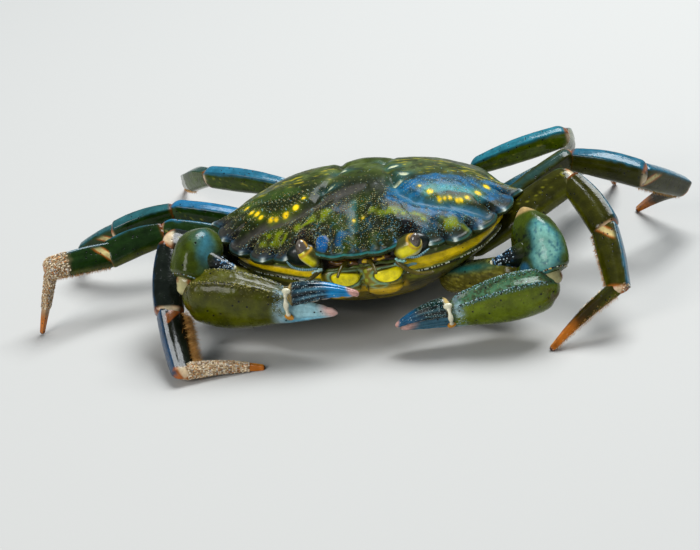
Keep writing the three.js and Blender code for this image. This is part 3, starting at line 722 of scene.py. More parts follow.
# %% Trunk
TRUNK = [  # half width, reach forward, reach back and height of each level
    (27.4, -17.4, 24.4, -0.9), (27.6, -17.6, 25.2, -3.8), (27.2, -17.4, 25.4, -6.4),
    (22.8, -17.1, 24.6, -9.6),
    (16.6, -14.4, 22.6, -13.2), (13.2, -10.8, 20.4, -15.2), (12.7, -10.4, 19.6, -15.7),
]
BAND = [(-27, -3.6), (-22, -4.2), (-16.7, -4.9), (-13.6, -5.5), (-8.1, -6.4), (8.9, -6.0), (12, -6.1),
        (16, -5.9),
        (19.8, -5.5), (23.8, -4.5), (27, -3.4)]  # height of the yellow fold along the width


TRUNK_POWER = 2.5  # how square its sections are
JAW_SPOTS = {1: 5.6, -1: -3.1}  # x of the yellow patch on the left and the right jaw


def trunk_point(level, angle):
    """A superellipse of power 2.5 whose reach comes from the table of levels, read smoothly."""
    wide, fore, aft, z = np.moveaxis(smooth_table(TRUNK, level), -1, 0)
    c, s = np.cos(angle), np.sin(angle)
    bulge = (np.abs(c) ** TRUNK_POWER + np.abs(s) ** TRUNK_POWER) ** (-1 / TRUNK_POWER)
    return np.stack([wide * bulge * c, np.where(s < 0, -fore, aft) * bulge * s, z + 0 * c], -1)


def face_paint(p):
    """Colours of the front below the rim, in the body's frame: flanks, yellow fold, beaded ridge and
    mouth."""
    x, y, z = np.moveaxis(p, -1, 0)
    cloud, grain = clouds(p, 1.8, 81), noise(p, 0.5, 82)
    hairy = noise(p * [0.5, 1, 3], 0.7, 83)
    paint = np.broadcast_to(tint("#54501c"), p.shape) * (0.45 + 0.8 * cloud)[..., None]
    paint = over(paint, "#93873c", step(0.5, 0.78, hairy) * 0.7)
    paint = over(paint, "#9c9250", step(-11, -14, z) * 0.7)
    front = step(8, 0, y)
    rows = np.array(BAND)
    rise = z - np.interp(x, rows[:, 0], rows[:, 1])
    side = step(7.2, 8.4, np.abs(x))
    half = 0.95 - 0.018 * np.abs(x) + 0.6 * step(6, 12, x) * step(26, 20, x)
    paint = over(paint, "#1c2a14", front * side * step(half - 0.1, half + 0.5, rise))
    paint = over(paint, "#5c6a1a",
                 front * side * step(half, half + 0.3, rise) * step(half + 2.2, half + 1.2, rise))
    paint = over(paint, "#d8d3a0", front * side * step(half, half + 0.2, rise) * step(0.74, 0.86, grain))
    paint = over(paint, "#f6d800",
                 front * side * step(half + 0.12, half - 0.15, np.abs(rise + 0.2 * (cloud - 0.5))))
    paint = over(paint, "#8fa05a", front * side * hump(rise + half + 0.25, 0.2))
    paint = over(paint, "#12160f", front * side * hump(rise + half + 0.75, 0.3))
    paint = over(paint, "#98981a", front * side * hump(rise + half + 1.7, 0.8) * (0.5 + 0.5 * cloud))
    mouth = step(8.6, 7.6, np.abs(x - 0.6)) * front
    paint = over(paint, "#3a2410", mouth * step(-5.4, -4.6, z))
    paint = over(paint, "#b0862a", mouth * step(-5.0, -4.2, z) * step(0.6, 0.75, cloud) * 0.7)
    paint = over(paint, "#94841a", mouth * step(-5.0, -5.6, z) * (0.6 + 0.4 * cloud))
    for flip, cx in JAW_SPOTS.items():
        dx, dz = (x - cx) / 3.1, (z + 6.9) / 1.6
        kidney = np.hypot(dx,
                          dz + 0.2 * np.cos(2.2 * dx)
                          - 0.15 * flip * dx) + 0.35 * hump(np.hypot(dx - 0.1, dz + 1.1), 0.45)
        paint = over(paint, "#8fb79a", mouth * hump(kidney - 1.13, 0.1) * 0.85)
        paint = over(paint, "#3a3a18", mouth * hump(kidney - 0.98, 0.06) * 0.8)
        paint = over(paint, "#fff000", mouth * step(0.97, 0.86, kidney) * (0.85 + 0.15 * grain))
        paint = over(paint, "#8fb79a",
                     mouth * hump(np.hypot((x - cx + flip * 2.2) / 1.5, (z + 9.1) / 0.5) - 1, 0.25) * 0.7)
    tiles = step(0.2, 0.5, np.cos((x - 1.0) * 3.3) * np.cos((z + 0.2) * 3.3)) * step(2.0, 1.4,
                                                                                     np.abs(x - 1.0))
    paint = over(paint, "#a4b040", mouth * tiles * step(-9.2, -8.6, z) * 0.8)
    paint = over(paint, "#e0bc14",
                 mouth * step(-9.3, -9.9, z) * step(-11.6, -11.0, z) * (0.5 + 0.5 * hairy))
    return over(paint, "#14120c", mouth * hump(np.abs(x - 1.1), 0.18) * step(-8.4, -9.0, z) * 0.8)


level = np.linspace(0, 1, 90)[:, None]
angle = np.linspace(0, 2 * np.pi, 480, endpoint=False)[None]
rings = trunk_point(level + 0 * angle, angle + 0 * level)
rise = rings[..., 2] - np.interp(rings[..., 0], *np.array(BAND).T)
swell = 0.5 * hump(rise, 0.9) + 0.35 * hump(rise + 1.7, 0.3) - 0.3 * hump(rise + 1.15, 0.2)
rings[..., :2] *= (1
                   + (swell * step(4, -2, rings[..., 1]) + 0.3 * (clouds(rings, 1.5, 85) - 0.5)) / 22)[...,
                                                                                                       None]
trunk = SimpleNamespace(rings=in_body(rings), caps=in_body([[0, 2, -1.4], [0, 2, -15.7]]),
                        paint=face_paint(rings))

ridge_angle = np.radians(np.concatenate([np.linspace(186, 250, 105), np.linspace(290, 354, 105)]))
ridge_level = np.linspace(0, 1, 400)
ridge_x = trunk_point(np.full(210, 0.33), ridge_angle)[:, 0]
ridge_z = np.interp(ridge_x, *np.array(BAND).T) - 1.7
levels = np.interp(-ridge_z, -smooth_table(TRUNK, ridge_level)[:, 3], ridge_level)
bead_at = trunk_point(levels, ridge_angle)
bead_at[:, :2] *= 1.014
bead_out = bead_at * [1, 1.6, 0]
colour = np.where(rng.random((210, 1)) < 0.5, tint("#dfe6da"), tint("#1d2318"))
studs("beads_on_the_flank_ridge", in_body(bead_at), turned(bead_out), rng.uniform(0.14, 0.24, 210), colour,
      granule_look)

# %% [markdown]
# ## Limb pieces
# Every limb piece is the same shape underneath: a rounded section swept from joint to joint, with its
# depth, thickness and the rise of its middle line given along the way. A relief is added over it for
# ridges, grooves and teeth, and it fades out where the piece rounds off into its joint.

# %% Limb maker
def limb(start, end, up, size, n=60, m=48, square=2.3, head=0.16, tail=0.16, relief=None, tone=None):
    """centre = start + dir length u + high rise(u); point = centre + full(u) bulge(a) (high deep cos a +
    wide thick sin a) + relief. full = sqrt(1 - (1 - u/head)^2) sqrt(1 - (1 - (1-u)/tail)^2) rounds both
    ends."""
    start, end, up = (np.asarray(v, float) for v in (start, end, up))
    length = np.linalg.norm(end - start)
    way = (end - start) / length
    high = unit(up - way * (up @ way))
    wide = np.cross(way, high)
    t = np.linspace(0, 1, n + 2)[1:-1, None]
    u = mix(t, 0.5 - 0.5 * np.cos(np.pi * t), 0.6)
    a = (np.arange(m) + 0.5)[None] / m * 2 * np.pi
    c, s = np.cos(a), np.sin(a)
    first = 1 - np.clip(u / head, 0, 1)
    last = 1 - np.clip((1 - u) / tail, 0, 1)
    full = np.sqrt(1 - first**2) * np.sqrt(1 - last**2)
    deep, thick, rise = (v + 0 * u for v in size(u))
    bulge = (np.abs(c) ** square + np.abs(s) ** square) ** (-1 / square)
    middle = start + way * length * u + high * rise
    bare = middle[:, None] + high * (deep * full * bulge * c)[...,
                                                        None] + wide * (thick * full * bulge * s)[..., None]
    piece = SimpleNamespace(u=u + 0 * a, c=c + 0 * u, s=s + 0 * u, a=a + 0 * u, rings=bare,
                            mm=u * length + 0 * a)
    if relief:
        out = unit(high * (thick * c)[..., None] + wide * (deep * s)[..., None])
        bare = bare + out * (relief(piece) * full)[..., None]
    ends = [start + high * size(np.zeros((1, 1)))[2], end + high * size(np.ones((1, 1)))[2]]
    piece.rings, piece.caps = bare, np.array([np.ravel(e + 0 * start) for e in ends])
    piece.paint = tone(piece) if tone else None
    return piece


def crest(piece, at, width):
    """A rounded ridge or groove that runs along the piece at an angle from its top."""
    turn = (piece.a - at + np.pi) % (2 * np.pi) - np.pi
    return hump(turn, width)


def near(p, centre, reach):
    return np.exp(-np.sum((p - np.asarray(centre, float)) ** 2, -1) / reach**2)


def plain(piece, code, low=0.65, high=1.25, size=1.5, seed=0):
    """A colour made uneven by clouds."""
    return tint(code) * mix(low, high, clouds(piece.rings, size, seed))[..., None]


# %% [markdown]
# ## Walking legs
# Each of the eight legs has four pieces: merus, carpus, propodus and dactylus. They are flattened, with two
# low ridges that bound a smooth blue strip along the outer edge, olive sides, and a wedge of cream joint
# skin where one piece folds on the next. The blue of the strip is partly the legs' own colour and partly a
# painted sky reflection. The last pair ends in a flat blade.

# %% Leg shapes
LEGS = {  # joints from the trunk to the tip, mm; l is the crab's own left
    "l2": [(20.5, -5, 11), (41.9, 0.9, 23.1), (48.6, -10, 17.4), (50.9, -22.5, 10), (37.2, -29.3, 0.3)],
    "l3": [(21, 3, 11.3), (41.6, 15.1, 21.6), (56, 12, 18.5), (64.8, 23.4, 10.2), (54.6, 35.2, 0.3)],
    "l4": [(20.5, 12, 12.3), (39, 22, 17.5), (44, 34, 12.5), (48.5, 43, 7), (50, 50.5, 0.3)],
    "l5": [(20, 26, 16.4), (39.9, 30, 20.8), (40.5, 38, 15.8), (40.2, 45, 9), (40.5, 54, 0.3)],
    "r2": [(-19.5, -5, 9), (-39.7, -8, 18.3), (-39, -20.2, 8.7), (-34.6, -34.6, 2.3), (-18.9, -30.8, 0.4)],
    "r3": [(-20, 3, 9.3), (-43.3, 4, 15.1), (-54.4, 0.2, 12.8), (-65.3, -8.4, 14.4), (-69.3, -10.6, 0.3)],
    "r4": [(-19.5, 12, 10.5), (-43.2, 15.4, 14.8), (-55.8, 13.6, 11.6), (-64.2, 15.8, 7),
           (-66.8, 22.6, 0.3)],
    "r5": [(-19.5, 26, 14.4), (-38.2, 32, 15.6), (-44.5, 41, 11.2), (-48.5, 52, 6.6), (-51.5, 63.5, 0.3)],
}
LEG_DEPTH = {"2": 3.8, "3": 3.7, "4": 3.4, "5": 3.0}  # half depth of the merus
HIPS = {"2": (14, -4, -11.6), "3": (14.6, 2, -11.8), "4": (14.2, 9, -11.6), "5": (11.5, 16.5, -9.6)}
LEG_PIECES = {  # depth at start and end, swelling, thickness over depth, arch
    "merus": (0.62, 0.84, 0.22, 0.58, 0.1),
    "carpus": (0.6, 0.78, 0.12, 0.72, 0.16),
    "propodus": (0.72, 0.58, 0.06, 0.62, 0.05),
    "dactylus": (0.44, 0.13, 0.04, 0.74, 0.16),
}
LEG_TONES = {  # strip on the merus and how wide, strip on the outer pieces, side and lower edge; the blue strips are partly the legs' own colour and partly painted sky reflection
    "l2": ("#4a8a6a", 0.9, "#2a6478", "#40400a", "#5e6010"),
    "l3": ("#34504a", 0.9, "#306c80", "#42440a", "#626212"),
    "l4": ("#2c6070", 0.84, "#285c6c", "#3e4a12", "#66682a"),
    "l5": ("#347a88", 0.7, "#2a6c7c", "#5a6a0a", "#8e8c1e"),
    "r2": ("#284c68", 0.84, "#2c4c68", "#20261e", "#34301c"),
    "r3": ("#327490", 0.76, "#386a7a", "#243c14", "#565c0c"),
    "r4": ("#2c7294", 0.78, "#346468", "#26400e", "#4a5008"),
    "r5": ("#34748a", 0.66, "#2c5044", "#44560a", "#5c6410"),
}


def leg_relief(kind):
    def relief(q):
        h = 0.08 * (clouds(q.rings, 1.4, 5) - 0.5)
        if kind == "dactylus":
            return h + 0.11 * np.cos(4 * q.a) + 0.03 * np.cos(8 * q.a)
        h += 0.24 * (crest(q, 0.62, 0.13) + crest(q, -0.62, 0.13)) - 0.1 * crest(q, 0, 0.35)
        if kind == "merus":
            return h + 0.1 * crest(q, 0, 0.1) - 0.12 * crest(q, np.pi / 2, 0.25) - 0.12 * crest(q,
                                                                                           -np.pi / 2, 0.25)
        return h - 0.16 * (crest(q, 1.25, 0.2) + crest(q, -1.25, 0.2)) + 0.12 * crest(q, np.pi, 0.3)

    return relief


def leg_tone(side, kind, length):
    inner, narrow, outer, flank, low = LEG_TONES[side]
    strip, narrow = (inner, narrow) if kind == "merus" else (outer, 0.78)

    def tone(q):
        cloud = clouds(q.rings, 1.6, 9)
        fine = noise(q.rings, 0.45, 4)
        paint = plain(q, flank, 0.55, 1.35, 2.0, 2)
        paint = over(paint, low, step(-0.55, -0.95, q.c + 0.4 * (cloud - 0.5)))
        # Blue strip along the outer edge: partly the leg's own colour, partly painted sky reflection.
        paint = over(paint, strip, step(narrow - 0.08, narrow + 0.08, q.c + 0.22 * (cloud - 0.5)))
        left, right = q.mm, length - q.mm
        if kind == "dactylus":
            paint = over(paint, "#3a2a14", 0.7 * step(0.15, 0.4, q.u))
            paint = over(paint, "#b8742a", step(0.5, 0.78, q.u + 0.15 * (cloud - 0.5)))
            paint = over(paint, "#d9a75c", step(0.8, 0.9, q.u) * step(0.6, 1, q.c) * 0.6)
            paint = over(paint, "#3b2413", step(0.965, 0.99, q.u))
        if (side, kind) in (("r2", "dactylus"), ("r3", "dactylus"), ("r3", "propodus")):
            crust = step(0.62, 0.8, q.u + 0.2 * (cloud - 0.5)) if kind == "propodus" else step(0.8, 0.6,
                                                                                               q.u)
            paint = over(paint, "#b9a183", crust * 0.85)
        if kind == "dactylus":
            return paint
        if kind == "merus":
            dots = step(0.72, 0.86, fine) * step(0.6, 0.1, np.abs(q.c - 0.2)) * step(0.35, 0.6, cloud)
            paint = over(paint, "#9c9a35", dots * 0.8)
            paint = over(paint, "#cfc9a0" if side[0] == "l" else "#7a4a20",
                         step(2.6, 1.6, right) * step(-0.2, -0.7, q.c) * 0.9)
        if kind == "propodus":
            slant = left - 2.4 - 3.0 * q.c + 0.4 * (cloud - 0.5)
            facing = step(0.75, 0.45, q.c)
            paint = over(paint, "#b0641f", hump(np.abs(slant) - 1.0, 0.3) * facing * 0.9)
            paint = over(paint, "#a0683c" if side == "r2" else "#cfc08c",
                         step(0.95, 0.7, np.abs(slant)) * facing * 0.9)
            paint = over(paint, "#b5702c", step(1.9, 0.9, right + 0.8 * q.c) * 0.9)
        rim = step(1.3, 0.6, right - (0.9 if side == "r2" else 0)) * 0.9
        paint = over(paint, "#a8642a", rim * step(0.2, 0.6, cloud))
        paint = over(paint, "#8a4a1c", 0.8 * step(1.9, 0.7, left) * (kind == "carpus"))
        return over(paint, "#d9cdb0", rim * step(0.6, 0.95, np.abs(q.s)) * 0.8)

    return tone


def leg(side, joints):
    """The four pieces of one leg, each a limb between two joints, plus its root on the trunk."""
    joints = np.array(joints, float)
    depth = LEG_DEPTH[side[1]]
    up = V(0, -0.3, 1) if side[1] == "5" else joints[1] - (joints[0] + joints[4]) / 2
    pieces = {}
    for i, (kind, (first, last, swell, flat, arch)) in enumerate(LEG_PIECES.items()):
        tip = kind == "dactylus"
        blade = 1.35 if tip and side[1] == "5" else 1

        def size(u):
            deep = depth * (mix(first, last, u) + swell * np.sin(np.pi * u)) * mix(blade if tip else 1, 1,
                                                                                   u)
            return deep, deep * flat / blade, depth * arch * np.sin(np.pi * u)

        way = unit(joints[i + 1] - joints[i])
        start = joints[i] - way * (0 if i == 0 else 0.6)
        end = joints[i + 1] + way * (0 if tip else 1.7)
        length = np.linalg.norm(end - start)
        pieces[kind] = limb(start, end, up, size, 64, 56, 2.4, 0.1, 0.04 if tip else 0.11,
                            leg_relief(kind), leg_tone(side, kind, length))
    hip = np.array(HIPS[side[1]]) * ([-1, 1, 1] if side[0] == "r" else [1, 1, 1])
    root = limb(in_body(hip), mix(joints[0], joints[1], 0.06), up,
                lambda u: (depth * mix(0.86, 0.66, u), depth * mix(0.66, 0.5, u), 0 * u), 24, 40)
    root.paint = plain(root, "#6e7436", 0.6, 1.2, 1.5, 3)
    return pieces, root


legs = {}
for side, joints in LEGS.items():
    legs[side], root = leg(side, joints)
    for kind, piece in legs[side].items():
        shells = [piece, root] if kind == "merus" else [piece]
        skin(f"leg_{side}_{kind}", shells, "leg_shell", leg_look, f"{side}_{kind}")
print(len(legs), "legs in", sum(map(len, legs.values())), "pieces")

# %% [markdown]
# ## Claw arms
# A claw arm has an upper arm, a wrist block with an inner spine, and a palm that runs on into the fixed
# finger. The movable finger hinges on the palm. Two beaded keels run along the top of the palm, the fingers
# are grooved, and their facing edges carry rounded teeth.

# %% Claw shapes
CLAWS = {
    "l1": dict(shoulder=V(15, -7, 6.3), elbow=V(33, -16.5, 11.6), near=V(33, -13.4, 24),
               far=V(37, -21.6, 12),
               root=V(38.7, -22.6, 11), hinge=V(18.5, -25.5, 8.4), tip=V(7.2, -27, 6.2),
               up=V(-0.1, -0.45, 0.9),
               spine=V(26.4, -21.6, 16.2), reach=0.93, size=0.93, face=-1,
               block=(0.42, 0.92, 0.26, 0.66)),
    "r1": dict(shoulder=V(-13, -11, 5.5), elbow=V(-30, -15.2, 13.2), near=V(-29.6, -14.4, 23.8),
               far=V(-33.4, -21.2, 15), root=V(-34.4, -22, 12.9), hinge=V(-13.7, -25.6, 12.3),
               tip=V(0.6, -25.4, 12.9),
               up=V(0.05, -0.18, 1), spine=V(-23.8, -22, 18.3), reach=0.7, size=1.05, face=1,
               block=(0.54, 0.68, 0.09, 0.9)),
}
PALM_DEPTH, FINGER_DEPTH = 5.5, 2.5  # half the palm's height, half the movable finger's at its hinge


def finger_relief(q):
    """Three grooves along the outer face, and rounded teeth along the edge that bites."""
    grooves = sum(crest(q, s * at, 0.13) for s in (1, -1) for at in (0.55, 1.25, 2.0))
    bite = step(-0.75, -0.95, q.c) * np.abs(np.sin(6.5 * np.pi * q.u)) ** 0.8 * (1 - 0.5 * q.u)
    return 0.07 * (clouds(q.rings, 0.8, 6) - 0.5) - 0.2 * grooves * step(1, 0.8, q.u) + 0.42 * bite


def palm_relief(end, face):
    def relief(q):
        u = q.u / end
        on_palm = step(0.03, 0.14, u) * step(1.02, 0.93, u)
        keels = crest(q, -face * 0.32, 0.12) + crest(q, face * 0.5, 0.12)
        h = 0.34 * keels * on_palm - 0.26 * crest(q, face * 0.09, 0.2) * on_palm
        h += 0.16 * (clouds(q.rings, 2.4, 8) - 0.5) + 0.05 * noise(q.rings, 0.5, 3)
        h -= 0.35 * hump(q.mm - 1.6, 0.7)
        thumb = step(1.02, 1.12, u)
        h -= 0.16 * thumb * (crest(q, face * 1.3, 0.16) + crest(q, face * 2.0, 0.16))
        bite = step(0.75, 0.95, q.c) * np.abs(np.sin(15 * np.pi * q.u)) ** 0.8
        return h + 0.4 * bite * thumb * (1 - 0.5 * q.u)

    return relief


def claw(k):
    """Arm, wrist with its thorn, palm with the fixed finger, and movable finger of one claw."""
    size, face = k["size"], k["face"]
    root, hinge, tip = k["root"], k["hinge"], k["tip"]
    way = unit(hinge - root)
    high = unit(k["up"] - way * (k["up"] @ way))
    finger_long, palm_long = np.linalg.norm(tip - hinge), np.linalg.norm(hinge - root)
    thumb = finger_long * k["reach"]
    end = palm_long / (palm_long + thumb)

    def finger_size(u):
        deep = size * FINGER_DEPTH * mix(1, 0.2, u**1.3)
        return deep, deep * 0.82, size * 1.1 * np.sin(np.pi * u)

    def palm_size(u):
        slim = step(end * 0.92, end * 1.08, u)
        swell = np.sin(np.pi * np.clip(u / end, 0, 1) ** 0.8)
        deep = mix(PALM_DEPTH * (0.62 + 0.44 * swell), mix(2.7, 0.5, (u - end) / (1 - end)), slim)
        thick = mix(PALM_DEPTH * (0.5 + 0.24 * swell), deep * 0.8, slim)
        return size * deep, size * thick, size * mix(0.9 * u, -1.5 * (1 - u), slim)

    def block_size(u):
        above, below, swell, flat = k["block"]
        full = size * 6.1 * (mix(above, below, u) + swell * np.sin(np.pi * u))
        return full, full * flat, size * 0.8 * np.sin(np.pi * u)

    def thorn_size(u):
        return size * mix(3.9, 0.35, u**0.8), size * mix(2.5, 0.35, u**0.8), 0 * u

    middle = mix(k["near"], k["far"], 0.62)
    return dict(
        finger=limb(hinge + high * 1.1 * size, tip, high, finger_size, 110, 80, head=0.1, tail=0.05,
                    relief=finger_relief),
        palm=limb(root - way, hinge + way * thumb - high * 2.3 * size, high, palm_size, 190, 130,
                  head=0.12, tail=0.04,
                  relief=palm_relief(end, face)),
        block=limb(k["near"], k["far"], (k["far"][0] - k["spine"][0], -6, 6), block_size, 100, 120, 2.9,
                   0.34, 0.13, relief=lambda q: 0.3 * (clouds(q.rings, 3.0, 12) - 0.5)
                   + 0.05 * noise(q.rings, 0.5, 2)),
        thorn=limb(mix(middle, k["spine"], 0.2), k["spine"], (0, 0, 1), thorn_size, 60, 60, tail=0.04),
        arm=limb(k["shoulder"], k["elbow"], (0, 0, 1),
                 lambda u: (mix(2.9, 3.6, u), mix(2.7, 3.3, u), 0 * u), 60, 56,
                 relief=lambda q: 0.15 * (clouds(q.rings, 2, 2) - 0.5)),
        end=end, high=high, way=way,
    )


claws = {side: claw(k) for side, k in CLAWS.items()}


# %% Claw colours
def palm_tone(q, side, end):
    face = CLAWS[side]["face"]
    u, outer = q.u / end, q.s * face
    cloud, fine = clouds(q.rings, 2.2, 14), noise(q.rings, 0.42, 15)
    paint = plain(q, "#6c7a04" if side == "l1" else "#565a02", 0.55, 1.35, 2.6, 16)
    paint = over(paint, "#6e7420", step(-0.5, -0.95, q.c) * 0.6)
    paint = over(paint, "#453f1a",
                 step(0.0, 0.8, q.c) * step(0.8, 0.4, cloud) * (0.55 if side == "r1" else 0.1))
    top = step(0.72, 0.9, q.c) * step(1.03, 0.95, u)
    if side == "l1":
        paint = over(paint, "#3f7a6a", top * 0.85)
        paint = over(paint, "#25302a", top * step(0.5, 0.7, fine) * 0.8)
    paint = over(paint, "#5d5a22", top * 0.3)
    hinge = step(0.86, 0.98, u) * step(1.05, 0.98, u)
    paint = over(paint, "#9fb9c6", hinge * step(0.35, 0.6, cloud + 0.3 * fine - 0.15) * 0.75)
    heel = step(0.2, 0.05, u)
    paint = over(paint, "#5c3f1c", heel * step(0.45, 0.6, cloud) * 0.7)
    thumb = step(0.96, 1.08, u + 0.08 * (cloud - 0.5))
    paint = over(paint, "#9cc0c8" if side == "r1" else "#3a6478", thumb * 0.95)
    paint = over(paint, "#4a9cbc", thumb * step(0.1, -0.7, q.c) * 0.6 * step(1.6, 1.1, u))
    return over(paint, "#c9a49a", step(0.88, 0.97, q.u + 0.03 * q.c) * 0.9)


def finger_tone(q, side):
    cloud, fine = clouds(q.rings, 1.6, 24), noise(q.rings, 0.33, 25)
    paint = plain(q, "#12303a" if side == "r1" else "#16332b", 0.5, 1.4, 1.2, 26)
    paint = over(paint, "#8fa8a8", step(0.72, 0.86, fine) * step(0.75, 0.4, q.u) * 0.6)
    grooves = sum(crest(q, s * at, 0.1) for s in (1, -1) for at in (0.55, 1.25, 2.0))
    # Painted highlight: pale blue along the ridges between the grooves.
    ridge = sum(crest(q, s * at, 0.12) for s in (1, -1) for at in (0.9, 1.62))
    paint = over(paint, "#6fa0b4",
                 np.clip(ridge, 0, 1) * step(0.06, 0.25,
                                             q.u) * (0.45 + 0.4 * fine) * (1 if side == "r1" else 0.5))
    # Painted shade: the grooves are painted nearly black.
    paint = over(paint, "#0c1216", np.clip(grooves, 0, 1) * step(0.9, 0.5, q.u) * 0.85)
    blue = step(0.42, 0.7, q.u + 0.25 * (cloud - 0.5)) * (0.95 if side == "r1" else 0.7)
    paint = over(paint, "#1790c4" if side == "r1" else "#1c6c96", blue)
    paint = over(paint, "#c39a90", step(0.83, 0.9, q.u + 0.04 * q.c - (0.08 if side == "l1" else 0)))
    paint = over(paint, "#cdb9a4", step(-0.72, -0.92, q.c) * 0.8)
    return over(paint, "#c8b078", step(0.1, 0.04, q.u))


def wrist_tone(q, side):
    p = q.rings
    cloud, fine = clouds(p, 2.4, 34), noise(p, 0.5, 35)
    paint = plain(q, "#48540a" if side == "r1" else "#4c5a06", 0.5, 1.35, 2.4, 36)
    if side == "r1":
        # Painted sheen: a pale blue patch of painted sky reflection over the top of the wrist.
        sheen = sum(near(p, at, 2.8)
                    for at in ((-29.0, -19.0, 25.8), (-28.6, -22.4, 23.4), (-27.4, -22.8, 20.8)))
        paint = over(paint, "#4f93a8", step(0.1, 1.2, sheen + 0.6 * (cloud - 0.5)) * 0.85)
        paint = over(paint, "#16283a", step(0.2, 0.8, near(p, (-25.6, -20.5, 19.6), 3.0)) * 0.85)
        return over(paint, "#2c2410", step(0.5, 0.9, near(p, (-33, -21.5, 15.2), 4.2)) * 0.7)
    # Painted sheen: pale turquoise patches of painted sky reflection round these points, brightest in the
    # middle.
    spots = ((34.7, -21, 23.5), (36.8, -23.2, 21), (38.2, -23.4, 18.9), (37.0, -24.0, 16.9),
             (38.9, -21.5, 22))
    sheen = sum(near(p, at, 2.9) for at in spots)
    paint = over(paint, "#4f9098", step(0.15, 1.2, sheen + 0.9 * (cloud - 0.5)) * 0.85)
    paint = over(paint, "#8fbcae", step(0.6, 1.9, sheen + 1.2 * (cloud - 0.5)) * 0.8)
    paint = over(paint, "#2c5f78", step(0.2, 1.0, sheen) * step(0.62, 0.8, fine) * 0.6)
    paint = over(paint, "#2f6f93", step(0.4, 0.8, near(p, (32.6, -22.8, 14.8), 2.2)) * 0.85)
    paint = over(paint, "#c9ab7c", step(0.12, 0.07, q.u + 0.05 * (cloud - 0.5)) * 0.75)
    return over(paint, "#141a12",
                np.maximum(step(0.5, 0.75, fine), 0.35) * step(0.2, 0.7,
                                                               near(p, (31.0, -21.0, 19.5), 4.4)) * 0.85)


for side, k in claws.items():
    k["palm"].paint = palm_tone(k["palm"], side, k["end"])
    k["finger"].paint = finger_tone(k["finger"], side)
    k["block"].paint = wrist_tone(k["block"], side)
    horn = k["thorn"]
    horn.paint = over(plain(horn, "#3a4410", 0.6, 1.3, 2.4, 36), "#141c1e",
                      step(0.0, 0.4, horn.u - 0.15 * horn.c))
    horn.paint = over(horn.paint, "#35607c",
                      step(0.5, 0.7, clouds(horn.rings, 0.9, 37)) * step(0.3, 0.6, horn.u) * 0.7)
    horn.paint = over(horn.paint, "#ddd9c0", step(0.93, 0.98, horn.u))
    streak = noise(k["arm"].rings * [0.6, 1, 3], 0.7, 83)
    k["arm"].paint = over(over(plain(k["arm"], "#67621a", 0.5, 1.3), "#a09a48",
                               step(0.5, 0.8, streak) * 0.7), "#2a7c7c",
                               hump(k["arm"].c - 0.75, 0.2) * hump(k["arm"].u - 0.4, 0.3) * 0.9)
    skin(f"palm_{side}", [k["palm"]], "claw_shell", claw_look, f"{side}_palm")
    skin(f"wrist_{side}", [k["block"], k["thorn"]], "claw_shell", claw_look, f"{side}_wrist")
    skin(f"arm_{side}", [k["arm"]], "claw_shell", claw_look, f"{side}_arm")
    skin(f"finger_{side}", [k["finger"]], "finger_shell", finger_look, f"{side}_finger")
print("Both claws made")

# %% [markdown]
# ## Hinges, joint skin and beads on the claws
# The movable finger swings on a pale knuckle bar that crosses the end of the palm and ends in a golden
# knob. Soft cream skin closes the gap between wrist and palm. Rows of beads follow the keels, the wrist's
# lower edge and the spine, and a scatter of fine grains covers the top of the palm.


# %% Knuckles, joint skin and beads
def on_limb(piece, u, a):
    """Points and outward normals at shares u along and angles a round a limb, from the nearest of its
    rings."""
    n, m = piece.u.shape
    i = np.clip(np.searchsorted(piece.u[:, 0], u), 1, n - 2)
    j = np.round((a % (2 * np.pi)) / (2 * np.pi) * m - 0.5).astype(int) % m
    p = piece.rings[i, j]
    normal = unit(np.cross(piece.rings[i, (j + 1) % m] - piece.rings[i, j - 1],
                           piece.rings[i + 1, j] - piece.rings[i - 1, j]))
    middle = piece.rings[i].mean(1)
    return p, normal * np.sign(np.sum(normal * (p - middle), -1, keepdims=True))


def bead_row(piece, u, a, low, high):
    p, n = on_limb(piece, u, a)
    return p, n, rng.uniform(low, high, len(p))


bead_p, bead_n, bead_r, bead_c = [], [], [], []


def add_beads(row, codes, shares):
    p, n, r = row
    pick = rng.choice(len(codes), len(p), p=shares)
    bead_p.append(p)
    bead_n.append(n)
    bead_r.append(r)
    bead_c.append(np.array([tint(c) for c in codes])[pick] * rng.uniform(0.7, 1.1, (len(p), 1)))


